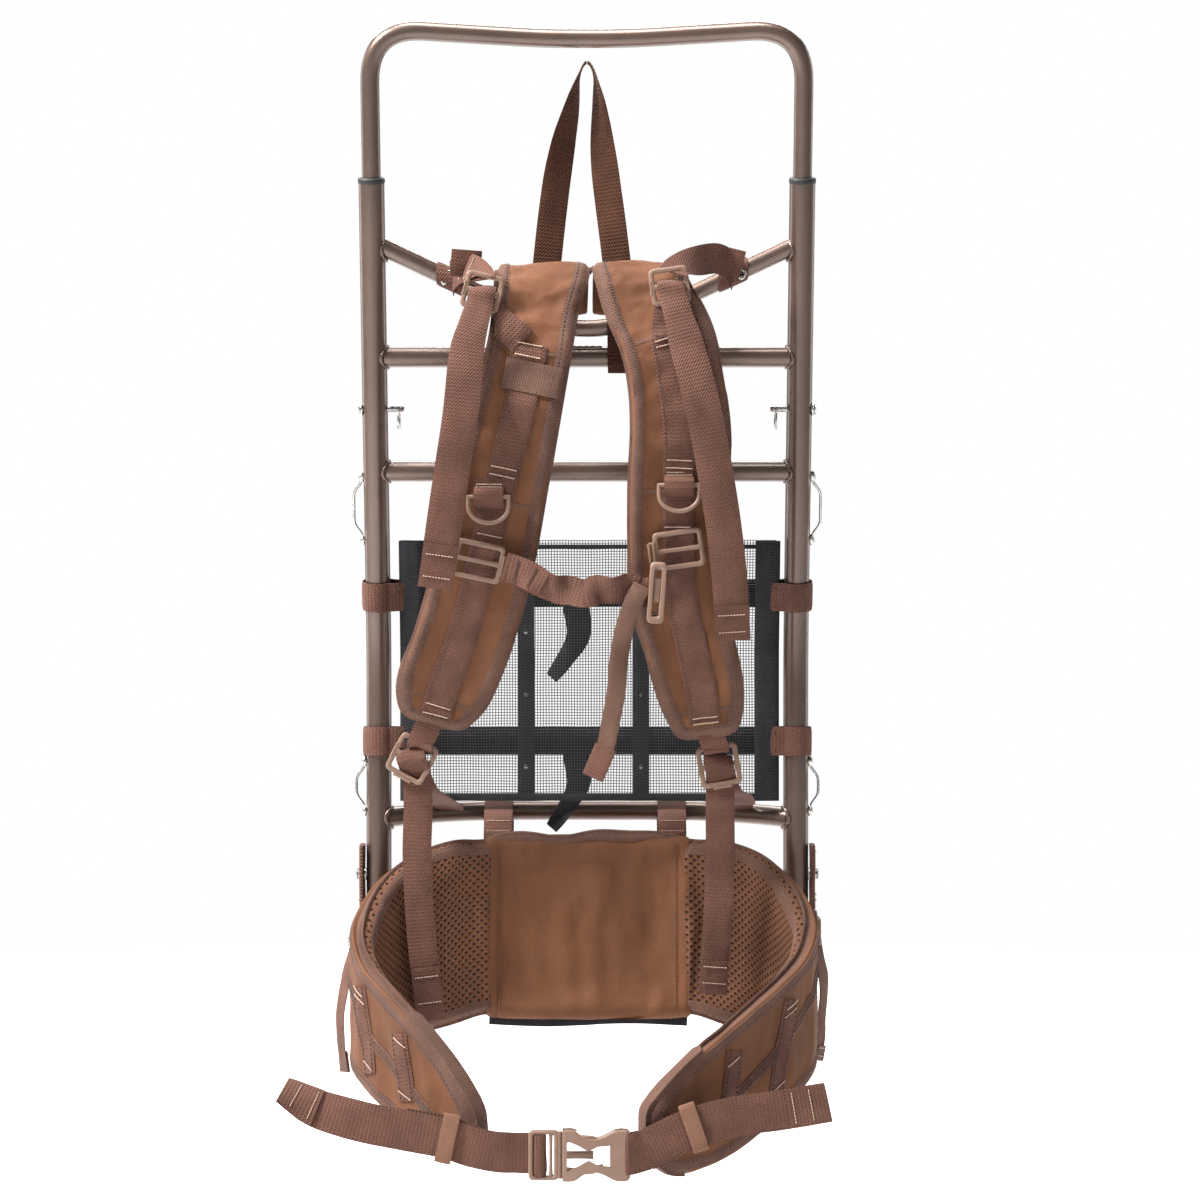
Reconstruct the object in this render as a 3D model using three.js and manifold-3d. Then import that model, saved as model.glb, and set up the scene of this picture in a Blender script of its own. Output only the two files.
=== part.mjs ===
// An external pack frame, as it hangs from its haul loop: a bronze coated tube frame with a
// telescoping top bar, a stretched mesh back panel, a shoulder harness and a padded hip belt.
// Millimetres. +Z is up, -Y is the wearer's side, +X is the wearer's left hand side.
// The origin is the top of the haul loop, which is what holds the pack up.
import * as THREE from 'three';
import { mergeVertices } from 'three/addons/utils/BufferGeometryUtils.js';
import Module from 'manifold-3d';

const wasm = await Module();
wasm.setup();

// Driving dimensions
const hangHeight = 850; // top of the haul loop above the ends of the uprights
const hangForward = 90; // the haul loop in front of the lower uprights
const gap = 0.3; // between pieces that touch
const uprightX = 185; // centre of each upright from the middle
const uprightRadius = 11.1;
const uprightBore = 9.3;
const bendHeight = 342; // the uprights lean forward above this
const lean = THREE.MathUtils.degToRad(14);
const uprightTop = 414; // measured up the leaning part from the bend
const legRadius = 8.1; // the telescoping bar
const legBore = 6.7;
const barRadius = 9.1; // crossbars
const barBore = 7.6;
const yokeRadius = 7.8;
const pinRadius = 3;
const pinHeight = 217; // upper pins, up the leaning part
const beltPinHeight = 143;
const tabThickness = 5; // the folded webbing tab that each lower pin holds
const wireRadius = 1.3;
const strapThickness = 2;
const padThickness = 14;
const wingThickness = 18;
const webbing = 25; // narrow webbing
const beltWebbing = 34;

const sides = { left: -1, right: 1 };

// Looks
const coated = { color: 0x6b5248, roughness: 0.38, metalness: 0.75 };
const steelLook = { color: 0xb9b7b3, roughness: 0.3, metalness: 0.9 };
const plasticLook = { color: 0x8b705c, roughness: 0.45, metalness: 0.0 };
const blackLook = { color: 0x1c1b1b, roughness: 0.6, metalness: 0.0 };
const meshLook = { color: 0x232323, roughness: 0.85, metalness: 0.0 };
const webbingLook = { color: 0x5a4036, roughness: 0.85, metalness: 0.0 };
const clothLook = { color: 0x7a4f33, roughness: 0.8, metalness: 0.0 };
const spacerLook = { color: 0x5e3c28, roughness: 0.9, metalness: 0.0 };

const pack = new THREE.Group();
pack.position.set(0, hangForward, -hangHeight);
const upper = new THREE.Group(); // the leaning part: its z runs up the uprights from the bend
upper.position.set(0, 0, bendHeight);
upper.rotation.x = lean;
pack.add(upper);

function add(parent, name, geometry, look) {
  const mesh = new THREE.Mesh(geometry, new THREE.MeshStandardMaterial(look));
  mesh.name = name;
  parent.add(mesh);
  return mesh;
}

const v = (x, y, z) => new THREE.Vector3(x, y, z);

// Joining and cutting closed solids
function solid(geometry) {
  const bare = geometry.clone();
  bare.deleteAttribute('normal');
  bare.deleteAttribute('uv');
  const merged = mergeVertices(bare, 1e-4);
  const vertProperties = new Float32Array(merged.attributes.position.array);
  const triVerts = new Uint32Array(merged.index.array);
  return new wasm.Manifold(new wasm.Mesh({ numProp: 3, vertProperties, triVerts }));
}

function surface(manifold) {
  const { vertProperties, triVerts } = manifold.getMesh();
  const geometry = new THREE.BufferGeometry();
  geometry.setAttribute('position', new THREE.BufferAttribute(vertProperties, 3));
  geometry.setIndex(new THREE.BufferAttribute(triVerts, 1));
  return geometry;
}

function cut(geometry, ...tools) {
  return surface(tools.reduce((body, tool) => body.subtract(solid(tool)), solid(geometry)));
}

function join(...geometries) {
  return surface(geometries.map(solid).reduce((body, other) => body.add(other)));
}

// Round stock
function rod(radius, length, axis = 'z', facets = 14) {
  const geometry = new THREE.CylinderGeometry(radius, radius, length, facets);
  if (axis === 'x') geometry.rotateZ(Math.PI / 2);
  if (axis === 'z') geometry.rotateX(Math.PI / 2);
  return geometry;
}

// A path whose tube has a ring at each station only, so straight lengths take none in between
class StationPath extends THREE.Curve {
  constructor(stations) {
    super();
    this.stations = stations;
    this.runs = stations.length - 1;
  }

  getPoint(t) {
    const low = Math.min(Math.floor(t * this.runs + 1e-6), this.runs - 1);
    return this.stations[low].clone().lerp(this.stations[low + 1], t * this.runs - low);
  }

  getPointAt(t) {
    return this.getPoint(t);
  }

  getTangentAt(t) {
    const here = Math.round(t * this.runs);
    const direction = (k) => this.stations[k + 1].clone().sub(this.stations[k]).normalize();
    const before = direction(Math.max(here - 1, 0));
    const after = direction(Math.min(here, this.runs - 1));
    return before.add(after).normalize();
  }
}

// A run of straight lines with each corner rounded off, setback before and after it
function bentPath(points, setback, facets = 4) {
  const stations = [points[0]];
  for (let i = 1; i < points.length - 1; i += 1) {
    const corner = points[i];
    const into = corner.clone().lerp(points[i - 1], setback / corner.distanceTo(points[i - 1]));
    const out = corner.clone().lerp(points[i + 1], setback / corner.distanceTo(points[i + 1]));
    stations.push(...new THREE.QuadraticBezierCurve3(into, corner, out).getPoints(facets));
  }
  return new StationPath([...stations, points[points.length - 1]]);
}

function tube(path, radius, bore = 0, facets = 14) {
  const section = new THREE.Shape();
  section.absarc(0, 0, radius, 0, 2 * Math.PI);
  if (bore > 0) {
    const hole = new THREE.Path();
    hole.absarc(0, 0, bore, 0, 2 * Math.PI, true);
    section.holes.push(hole);
  }
  return new THREE.ExtrudeGeometry(section, { steps: path.runs, curveSegments: facets / 2, extrudePath: path });
}

function box(width, depth, height, x = 0, y = 0, z = 0) {
  return new THREE.BoxGeometry(width, depth, height).translate(x, y, z);
}

// Straps and pads: one closed solid through stations along a smooth run
const flat = [[-1, -1], [1, -1], [1, 1], [-1, 1]];
const pillow = Array.from({ length: 12 }, (_, i) => {
  const angle = (i / 12) * 2 * Math.PI;
  const soften = (value) => Math.sign(value) * Math.sqrt(Math.abs(value));
  return [soften(Math.cos(angle)), soften(Math.sin(angle))];
});

function valueAt(values, t) {
  if (!Array.isArray(values)) return values;
  const place = t * (values.length - 1);
  const low = Math.min(Math.floor(place), values.length - 2);
  return THREE.MathUtils.lerp(values[low], values[low + 1], place - low);
}

function strip(points, options) {
  const { width, thickness = strapThickness, across = v(1, 0, 0), turn = 0, section = flat, steps, plumb } = options;
  const run = new THREE.CatmullRomCurve3(points.map(([x, y, z]) => v(x, y, z)), false, 'centripetal');
  const count = steps ?? points.length * 2;
  const positions = [];
  for (let k = 0; k <= count; k += 1) {
    const t = k / count;
    const centre = run.getPoint(t);
    const along = run.getTangent(t);
    const wide = across.clone().addScaledVector(along, plumb ? 0 : -across.dot(along)).normalize();
    wide.applyAxisAngle(along, THREE.MathUtils.degToRad(valueAt(turn, t)));
    const thick = along.clone().cross(wide).normalize();
    for (const [u, w] of section) {
      const corner = centre.clone();
      corner.addScaledVector(wide, (u * valueAt(width, t)) / 2);
      corner.addScaledVector(thick, (w * valueAt(thickness, t)) / 2);
      positions.push(corner.x, corner.y, corner.z);
    }
  }
  return closedLoft(positions, section.length, count + 1);
}

function closedLoft(positions, around, rings) {
  const index = [];
  for (let r = 0; r < rings - 1; r += 1) {
    for (let i = 0; i < around; i += 1) {
      const a = r * around + i;
      const b = r * around + ((i + 1) % around);
      index.push(a, b, b + around, a, b + around, a + around);
    }
  }
  const last = (rings - 1) * around;
  for (let i = 1; i < around - 1; i += 1) {
    index.push(0, i + 1, i, last, last + i, last + i + 1);
  }
  const geometry = new THREE.BufferGeometry();
  geometry.setAttribute('position', new THREE.Float32BufferAttribute(positions, 3));
  geometry.setIndex(index);
  return geometry;
}

// Uprights, end caps, collars and the telescoping top bar
const pinHole = rod(pinRadius + 0.4, 60, 'x', 12);

function addUpright(name, side) {
  const x = side * uprightX;
  const top = v(x, -uprightTop * Math.sin(lean), bendHeight + uprightTop * Math.cos(lean));
  const path = bentPath([v(x, 0, 0), v(x, 0, bendHeight), top], 30, 3);
  const pinUp = pinHole.clone().translate(x, -pinHeight * Math.sin(lean), bendHeight + pinHeight * Math.cos(lean));
  const pinDown = pinHole.clone().translate(x, 0, beltPinHeight);
  add(pack, `upright_${name}`, cut(tube(path, uprightRadius, uprightBore, 16), pinUp, pinDown), coated);

  const plug = join(rod(uprightRadius, 3, 'z', 16).translate(0, 0, -1.5 - gap), rod(uprightBore - gap, 14, 'z', 16).translate(0, 0, 5));
  add(pack, `foot_cap_${name}`, plug, blackLook).position.x = x;

  const profile = [[8.5, 0], [12.4, 0], [12.4, 7], [11.2, 9], [8.5, 9], [8.5, 0]];
  const collar = new THREE.LatheGeometry(profile.map(([r, h]) => new THREE.Vector2(r, h)), 18).rotateX(Math.PI / 2);
  add(upper, `collar_${name}`, collar, blackLook).position.set(x, 0, uprightTop + gap);
}

const shoulderHeight = 546;
const dipHeight = 537;
const topBarPath = bentPath(
  [
    v(-uprightX, 0, pinHeight + pinRadius + 0.7),
    v(-uprightX, 0, shoulderHeight),
    v(-35, 0, dipHeight),
    v(35, 0, dipHeight),
    v(uprightX, 0, shoulderHeight),
    v(uprightX, 0, pinHeight + pinRadius + 0.7),
  ],
  33,
);
add(upper, 'extension_bar', tube(topBarPath, legRadius, legBore, 12), coated);

// Bars between the uprights, their ends shaped to the upright they are welded to
const saddles = Object.values(sides).map((side) => rod(uprightRadius + gap, 90, 'z', 20).translate(side * uprightX, 0, 0));

function addStraightBar(name, parent, height) {
  const bar = tube(new StationPath([v(-uprightX, 0, 0), v(uprightX, 0, 0)]), barRadius, barBore);
  add(parent, name, cut(bar, ...saddles), coated).position.z = height;
}

function addBowedBar(name, height, back, rise) {
  const path = bentPath([v(-uprightX, 0, 0), v(-120, back, rise), v(120, back, rise), v(uprightX, 0, 0)], 55);
  add(pack, name, cut(tube(path, barRadius, barBore), ...saddles), coated).position.z = height;
}

addStraightBar('crossbar_upper', upper, 263);
addStraightBar('crossbar_middle', upper, 161.5);
addBowedBar('crossbar_lower', 192.5, 38, 4.5);
addBowedBar('crossbar_bottom', 50, 38, 0);

const yokePath = bentPath([v(-uprightX, 0, 363), v(0, 0, 275), v(uprightX, 0, 363)], 55, 6);
const tallSaddles = saddles.map((saddle) => saddle.clone().translate(0, 0, 358));
add(upper, 'yoke_bar', cut(tube(yokePath, yokeRadius, 6.4), ...tallSaddles), coated);

// Clevis pins through the uprights with split rings, and wire lash loops riveted outside them
const ringX = 9.5; // ring hole inboard of the upright's face
const ringRadius = 9;

function addPin(parent, name, side, height, grip) {
  const tip = -uprightRadius - ringX - 4;
  const head = uprightRadius + grip;
  const shaft = rod(pinRadius, head - tip, 'x', 12).translate((head + tip) / 2, 0, 0);
  const cap = rod(5, 2, 'x', 14).translate(head + 0.5, 0, 0);
  const hole = rod(1.8, 12, 'y', 10).translate(-uprightRadius - ringX, 0, 0);
  const pin = add(parent, name, cut(join(shaft, cap), hole), steelLook);
  pin.rotation.z = side > 0 ? 0 : Math.PI;
  pin.position.set(side * uprightX, 0, height);
}

function addLashLoop(parent, name, side, low, high) {
  const face = uprightRadius + 1.7;
  const reach = 20;
  const path = bentPath([v(face, 0, low), v(face, 0, low + 5), v(reach, 0, low + 14),
    v(reach, 0, high - 14), v(face, 0, high - 5), v(face, 0, high)], 4, 2);
  const rivets = [low, high].map((z) => rod(4, 2.6, 'x', 12).translate(face, 0, z));
  const loop = add(parent, name, join(tube(path, wireRadius, 0, 8), ...rivets), steelLook);
  loop.rotation.z = side > 0 ? 0 : Math.PI;
  loop.position.x = side * uprightX;
}

for (const [name, side] of Object.entries(sides)) {
  addUpright(name, side);
  addPin(upper, `clevis_pin_upper_${name}`, side, pinHeight, 1.4);
  addPin(pack, `clevis_pin_lower_${name}`, side, beltPinHeight, tabThickness + 2);
  addLashLoop(upper, `lash_loop_upper_${name}`, side, 100, 157);
  addLashLoop(pack, `lash_loop_lower_${name}`, side, 199, 243);
  const ring = new THREE.TorusGeometry(ringRadius, 0.8, 6, 22).rotateY(Math.PI / 2);
  const hangsAt = side * (uprightX - uprightRadius - ringX);
  add(upper, `split_ring_${name}`, ring, steelLook).position.set(hangsAt, 0, pinHeight - ringRadius);
}

// Mesh back panel, its two flat stays and the two straps that stretch it between the uprights
const panelLow = 208;
const panelHigh = 100; // up the leaning part

function bentSheet(thickness, back, low, high) {
  const half = thickness / 2;
  const top = v(0, back - high * Math.sin(lean), bendHeight + high * Math.cos(lean));
  const outline = [[back - half, low], [back + half, low], [back + half, bendHeight],
    [top.y + half, top.z], [top.y - half, top.z], [back - half, bendHeight]];
  const shape = new THREE.Shape(outline.map(([y, z]) => new THREE.Vector2(y, z)));
  return (x0, x1) => {
    const sheet = new THREE.ExtrudeGeometry(shape, { depth: x1 - x0, bevelEnabled: false });
    return sheet.rotateY(Math.PI / 2).rotateX(Math.PI / 2).translate(x0, 0, 0);
  };
}

const panel = bentSheet(3, -2, panelLow, panelHigh);
const sleeve = bentSheet(7, -4, panelLow, panelHigh);
add(pack, 'mesh_panel', join(panel(-166, 170), sleeve(-166, -144), sleeve(148, 170)), meshLook);
const stay = bentSheet(2, 1.5, panelLow + 2, panelHigh - 4);
add(pack, 'stay_left', stay(-62, -47), blackLook);
add(pack, 'stay_right', stay(40, 55), blackLook);

function addPanelStrap(parent, name, height) {
  const wraps = Object.values(sides).map((side) => rod(uprightRadius + 2.5, webbing, 'z', 20).translate(side * uprightX, 0, 0));
  const bores = Object.values(sides).map((side) => rod(uprightRadius + gap, webbing + 2, 'z', 20).translate(side * uprightX, 0, 0));
  const band = box(2 * uprightX, strapThickness, webbing, 0, 6, 0);
  add(parent, name, cut(join(band, ...wraps), ...bores), webbingLook).position.z = height;
}

addPanelStrap(upper, 'panel_strap_upper', 50);
addPanelStrap(pack, 'panel_strap_lower', 261);

// Haul loop: one strap from the upper crossbar up behind the harness and over the hanging point
const haulRun = [[-38, -88, 588], [-37, -88, 640], [-33, -89, 690], [-24, -90, 760], [-12, -90, 815], [-6, -90, 840],
  [0, -90, 849], [6, -90, 840], [10, -90, 815], [15, -90, 760], [24, -89, 690], [29, -88, 640], [30, -88, 588]];
const haulTurn = [0, 0, 0, 18, 60, 90, 90, 90, 60, 18, 0, 0, 0];
const haulStrip = strip(haulRun, { width: [24, 24, 24, 24, 22, 18, 18, 18, 22, 24, 24, 24, 24], turn: haulTurn, steps: 36 });
const haulWraps = [-38, 30].map((x) => {
  const wrap = cut(rod(barRadius + 2.4, 24, 'x', 18), rod(barRadius + gap, 26, 'x', 18));
  const link = box(24, 14.5, 3, 0, -barRadius - 8, 0);
  return join(wrap, link).rotateX(lean).translate(x, -263 * Math.sin(lean), bendHeight + 263 * Math.cos(lean));
});
add(pack, 'haul_loop', join(haulStrip, ...haulWraps), webbingLook);

// Shoulder pads, rolled over at the top
const padRuns = {
  left: {
    run: [[-39, -99, 630], [-39, -101, 653], [-39, -113, 667], [-41, -127, 658], [-43, -137, 636], [-47, -146, 605],
      [-54, -149, 570], [-63, -145, 530], [-73, -137, 485], [-84, -126, 435], [-94, -117, 392], [-108, -107, 347],
      [-125, -97, 306], [-133, -89, 280]],
    width: [72, 74, 74, 72, 70, 68, 70, 74, 78, 82, 82, 81, 78, 52],
  },
  right: {
    run: [[39, -99, 630], [39, -101, 653], [40, -113, 667], [45, -127, 658], [54, -137, 636], [68, -146, 605],
      [75, -149, 570], [79, -145, 530], [78, -137, 485], [77, -126, 435], [78, -117, 392], [88, -107, 347],
      [99, -96, 302], [104, -88, 269]],
    width: [72, 72, 72, 72, 76, 78, 78, 82, 84, 82, 80, 75, 70, 50],
  },
};

for (const [name, { run, width }] of Object.entries(padRuns)) {
  add(pack, `shoulder_pad_${name}`, strip(run, { width, thickness: padThickness, section: pillow }), clothLook);
}

// Moulded ladder buckle: a frame with a bar between two slots, flat in the XZ plane
function ladder(width, height, rim = 4, thickness = 3.6) {
  const slot = (height - 3 * rim) / 2;
  const middle = (slot + rim) / 2;
  const slots = [-middle, middle].map((z) => box(width - 2 * rim, thickness + 2, slot, 0, 0, z));
  return cut(box(width, thickness, height), ...slots);
}

// Load lifters: a strap round the yoke bar, its buckle on the pad and its free tail
const lifters = {
  left: {
    buckle: [-88, -149, 646],
    tilt: 14,
    run: [[-112, -94, 668], [-108, -118, 680], [-101, -148, 680], [-99, -163, 660], [-99, -167, 615],
      [-105, -168, 540], [-117, -159, 470], [-128, -147, 396]],
  },
  right: {
    buckle: [70, -148.5, 651],
    tilt: -8,
    run: [[112, -94, 668], [100, -118, 685], [82, -148, 688], [74, -163, 668], [79, -168, 615],
      [98, -168, 545], [112, -159, 470], [120, -147, 410], [124, -135, 352]],
  },
};

for (const [name, { buckle, tilt, run }] of Object.entries(lifters)) {
  add(pack, `lifter_strap_${name}`, strip(run, { width: [webbing, webbing, 30, 30, 30, 30, 30, 30] }), webbingLook);
  const frame = add(pack, `lifter_buckle_${name}`, ladder(33, 32), plasticLook);
  frame.position.set(...buckle);
  frame.rotation.y = THREE.MathUtils.degToRad(tilt);
}

// D-rings and the sternum strap on its two sliders
const dRings = { left: [-83, -146, 473], right: [78, -149, 483] };

function dRing(halfWidth, drop, wire) {
  const bow = bentPath([v(-halfWidth, 0, 0), v(-halfWidth, 0, -drop), v(halfWidth, 0, -drop), v(halfWidth, 0, 0)],
    drop * 0.7, 5);
  return join(tube(bow, wire, 0, 8), rod(wire, 2 * halfWidth + 2 * wire, 'x', 8));
}

for (const [name, place] of Object.entries(dRings)) {
  add(pack, `d_ring_${name}`, dRing(17, 21, 1.9), plasticLook).position.set(...place);
}

const sliders = {
  left: { place: [-92, -136, 419], tilt: 12 },
  right: { place: [78, -138.5, 429], tilt: -8 },
};

for (const [name, { place, tilt }] of Object.entries(sliders)) {
  const slider = add(pack, `sternum_slider_${name}`, ladder(42, 33), plasticLook);
  slider.position.set(...place);
  slider.rotation.set(THREE.MathUtils.degToRad(11), THREE.MathUtils.degToRad(tilt), 0);
}

const sternumRun = [[-68, -139, 413], [-50, -144, 407], [-30, -150, 396], [-5, -155, 392], [20, -156, 396], [44, -154, 392]];
const sternumTail = [[40, -157, 388], [31, -156, 362], [24, -152, 310], [18, -146, 255]];
add(pack, 'sternum_strap', join(strip(sternumRun, { width: webbing, across: v(0, 0, 1), steps: 14 }),
  strip(sternumTail, { width: 16, steps: 10 })), webbingLook);
add(pack, 'sternum_buckle', cut(box(14, 24, 52), box(9, 26, 12, 0, 0, 12), box(9, 26, 8, 0, 0, -14)), plasticLook)
  .position.set(59, -153, 392);

// Buckles at the foot of the pads and the webbing from the lower crossbar through them
const padBuckles = { left: { place: [-151, -84, 249], tilt: 28 }, right: { place: [114, -82, 243], tilt: -10 } };
const lowerRuns = {
  left: [[-126, -16, 206], [-133, -40, 213], [-142, -65, 221], [-147, -78, 220], [-147, -80, 205],
    [-147, -78, 160], [-143, -72, 90], [-135, -64, 22]],
  right: [[136, -16, 206], [132, -38, 214], [122, -64, 220], [116, -77, 217], [115, -80, 196],
    [115, -77, 155], [112, -71, 90], [109, -62, 44]],
};

for (const [name, { place, tilt }] of Object.entries(padBuckles)) {
  const frame = add(pack, `pad_buckle_${name}`, ladder(36, 36), plasticLook);
  frame.position.set(...place);
  frame.rotation.y = THREE.MathUtils.degToRad(tilt);
  add(pack, `lower_strap_${name}`, strip(lowerRuns[name], { width: webbing }), webbingLook);
}

// Hip belt: lumbar pad, two wings that sag forward, and the loops that tie it to the frame
const lumbarOutline = new THREE.Shape();
lumbarOutline.moveTo(-82, 20).lineTo(84, 20).lineTo(90, 26).lineTo(90, 172).lineTo(84, 180)
  .lineTo(-82, 180).lineTo(-88, 172).lineTo(-88, 26).lineTo(-82, 20);
const lumbar = new THREE.ExtrudeGeometry(lumbarOutline, { depth: 22, bevelEnabled: false });
add(pack, 'lumbar_pad', lumbar.rotateX(Math.PI / 2).translate(0, -26, 0), clothLook);

// Stations of a wing from the lumbar pad forward: x, y, top edge, bottom edge
const wings = {
  left: [[-92, -38, 176, 24], [-120, -40, 174, 15], [-155, -46, 161, 6], [-182, -64, 138, -2], [-195, -92, 106, -12],
    [-186, -124, 77, -27], [-162, -156, 54, -46], [-134, -184, 28, -62], [-108, -203, -4, -72], [-88, -215, -38, -66]],
  right: [[94, -38, 176, 24], [122, -40, 174, 15], [156, -46, 161, 6], [181, -62, 136, -2], [190, -88, 108, -12],
    [181, -116, 82, -28], [156, -146, 60, -52], [124, -174, 36, -74], [92, -197, 12, -86], [66, -210, -12, -86],
    [48, -217, -34, -66]],
};

for (const [name, stations] of Object.entries(wings)) {
  const run = stations.map(([x, y, top, bottom]) => [x, y, (top + bottom) / 2]);
  const height = stations.map(([, , top, bottom]) => top - bottom);
  const shape = strip(run, { width: height, thickness: wingThickness, across: v(0, 0, 1), plumb: true, section: pillow, steps: 22 });
  add(pack, `belt_wing_${name}`, shape, spacerLook);
}

const hangerRun = [[-24, 150], [-16, 182], [10, 205], [36, 212], [51, 203], [53, 190], [44, 179], [30, 176], [12, 180], [0, 178]];
for (const [name, x] of Object.entries({ left: -79, right: 75 })) {
  const run = hangerRun.map(([y, z]) => [x, y, z]);
  add(pack, `belt_hanger_${name}`, strip(run, { width: webbing, steps: 22 }), webbingLook);
}

const stabilisers = {
  left: [[-199.5, -1, 112], [-204, -10, 84], [-212, -26, 52], [-216, -34, 12], [-216, -36, -28]],
  right: [[199.5, -1, 112], [203, -10, 84], [207, -26, 52], [206, -34, 12], [202, -36, -18]],
};
for (const [name, side] of Object.entries(sides)) {
  const tabX = side * (uprightX + uprightRadius + 1 + tabThickness / 2);
  const tab = cut(box(tabThickness, 25, 52, 0, 0, -14), rod(pinRadius + gap, 12, 'x', 12));
  const hang = tab.translate(tabX, 0, beltPinHeight);
  const tail = strip(stabilisers[name], { width: 22, across: v(side * 0.4, 1, 0), steps: 10 });
  add(pack, `stabiliser_${name}`, join(hang, tail), webbingLook);
}

// Waist webbing, its keepers and the side release buckle
const buckleZ = -68;
const buckleY = -236;
const waistRuns = {
  left: [[-92, buckleY, -62], [-102, -235, -59], [-114, -234, -55], [-150, -234, -48], [-184, -235, -41],
    [-220, -236, -30], [-249, -236, -15]],
  right: [[44, buckleY, -65], [62, -236, -57], [88, -233, -46], [120, -229, -38], [160, -224, -33], [199, -216, -28]],
};
for (const [name, run] of Object.entries(waistRuns)) {
  add(pack, `belt_webbing_${name}`, strip(run, { width: beltWebbing, thickness: 3, across: v(0, 0, 1), steps: 14 }), webbingLook);
}
const keepers = { left: { place: [-114, -234, -55], tilt: -12 }, right: { place: [88, -233, -46], tilt: 19 } };
for (const [name, { place, tilt }] of Object.entries(keepers)) {
  const keeper = add(pack, `belt_keeper_${name}`, cut(box(14, 11.5, 46), box(16, 7, 39.5)), plasticLook);
  keeper.position.set(...place);
  keeper.rotation.y = THREE.MathUtils.degToRad(-tilt);
}

const housing = cut(box(56, 14, 42, 8, 0, 0), box(44, 8, 34, 0, 0, 0), box(30, 8, 60, 0, 0, 0), box(5, 20, 34, 32, 0, 0));
add(pack, 'buckle_female', housing, plasticLook).position.set(0, buckleY, buckleZ);
const maleBody = cut(box(26, 7, 40, -34.5, 0, 0), box(5, 9, 34, -43, 0, 0), box(5, 9, 34, -34, 0, 0));
add(pack, 'buckle_male', join(maleBody, box(30, 5, 6, -8, 0, 0)), plasticLook).position.set(0, buckleY, buckleZ);
for (const [name, side] of Object.entries({ upper: 1, lower: -1 })) {
  const arm = strip([[-20.6, 0, side * 12], [-8, 0, side * 13], [6, 0, side * 12], [14, 0, side * 9]],
    { width: [5, 5, 7, 3], thickness: 6, across: v(0, 0, 1), steps: 6 });
  add(pack, `prong_${name}`, arm, plasticLook).position.set(0, buckleY, buckleZ);
}

export default pack;
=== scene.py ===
import math
import bpy
import numpy as np
from mathutils import Matrix, Vector, noise


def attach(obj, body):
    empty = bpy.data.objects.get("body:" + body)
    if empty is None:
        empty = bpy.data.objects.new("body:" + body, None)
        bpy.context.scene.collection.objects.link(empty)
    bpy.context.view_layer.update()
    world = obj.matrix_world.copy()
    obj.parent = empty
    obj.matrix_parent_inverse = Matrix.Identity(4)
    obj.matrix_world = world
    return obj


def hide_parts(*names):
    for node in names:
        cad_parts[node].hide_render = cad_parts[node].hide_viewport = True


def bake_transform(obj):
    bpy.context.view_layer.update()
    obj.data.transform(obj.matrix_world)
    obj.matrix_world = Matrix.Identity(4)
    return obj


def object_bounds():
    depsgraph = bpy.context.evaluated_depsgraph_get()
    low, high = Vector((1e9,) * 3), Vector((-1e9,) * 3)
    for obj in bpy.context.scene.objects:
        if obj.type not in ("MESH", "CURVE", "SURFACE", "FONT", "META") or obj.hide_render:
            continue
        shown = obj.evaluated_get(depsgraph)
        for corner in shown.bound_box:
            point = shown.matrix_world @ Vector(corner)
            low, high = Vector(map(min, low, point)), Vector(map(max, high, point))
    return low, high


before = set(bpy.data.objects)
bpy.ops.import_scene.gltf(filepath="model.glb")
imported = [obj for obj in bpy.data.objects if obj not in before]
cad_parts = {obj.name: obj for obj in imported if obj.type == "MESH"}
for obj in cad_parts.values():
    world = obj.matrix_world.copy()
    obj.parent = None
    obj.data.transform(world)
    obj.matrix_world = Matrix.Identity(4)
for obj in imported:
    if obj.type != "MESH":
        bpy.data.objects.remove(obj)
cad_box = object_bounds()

# Lengths below are millimetres in the frame's own layout: z is measured from the feet of the
# uprights and y from their straight part, as in the CAD. place() turns them into the row frame.
HANG_HEIGHT = 850
HANG_FORWARD = 90
UPRIGHT_X = 185
UPRIGHT_R = 11.1
LEG_R = 8.1
BAR_R = 9.1
YOKE_R = 7.8
BEND = 342
LEAN = math.radians(14)
UPRIGHT_TOP = 414
SIDES = {"left": -1, "right": 1}


def place(points):
    return (np.asarray(points, float) + [0, HANG_FORWARD, -HANG_HEIGHT]) / 1000


def leaning(x, y, up):
    """A point given in the leaning upper part: up is measured from the bend."""
    s, c = math.sin(LEAN), math.cos(LEAN)
    return (x, y * c - up * s, BEND + y * s + up * c)


def on_frame(x, z, y=0):
    """A point at height z, y behind the plane of the uprights."""
    return (x, y - max(z - BEND, 0) * math.tan(LEAN), z)


# ---------------------------------------------------------------- materials

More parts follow.
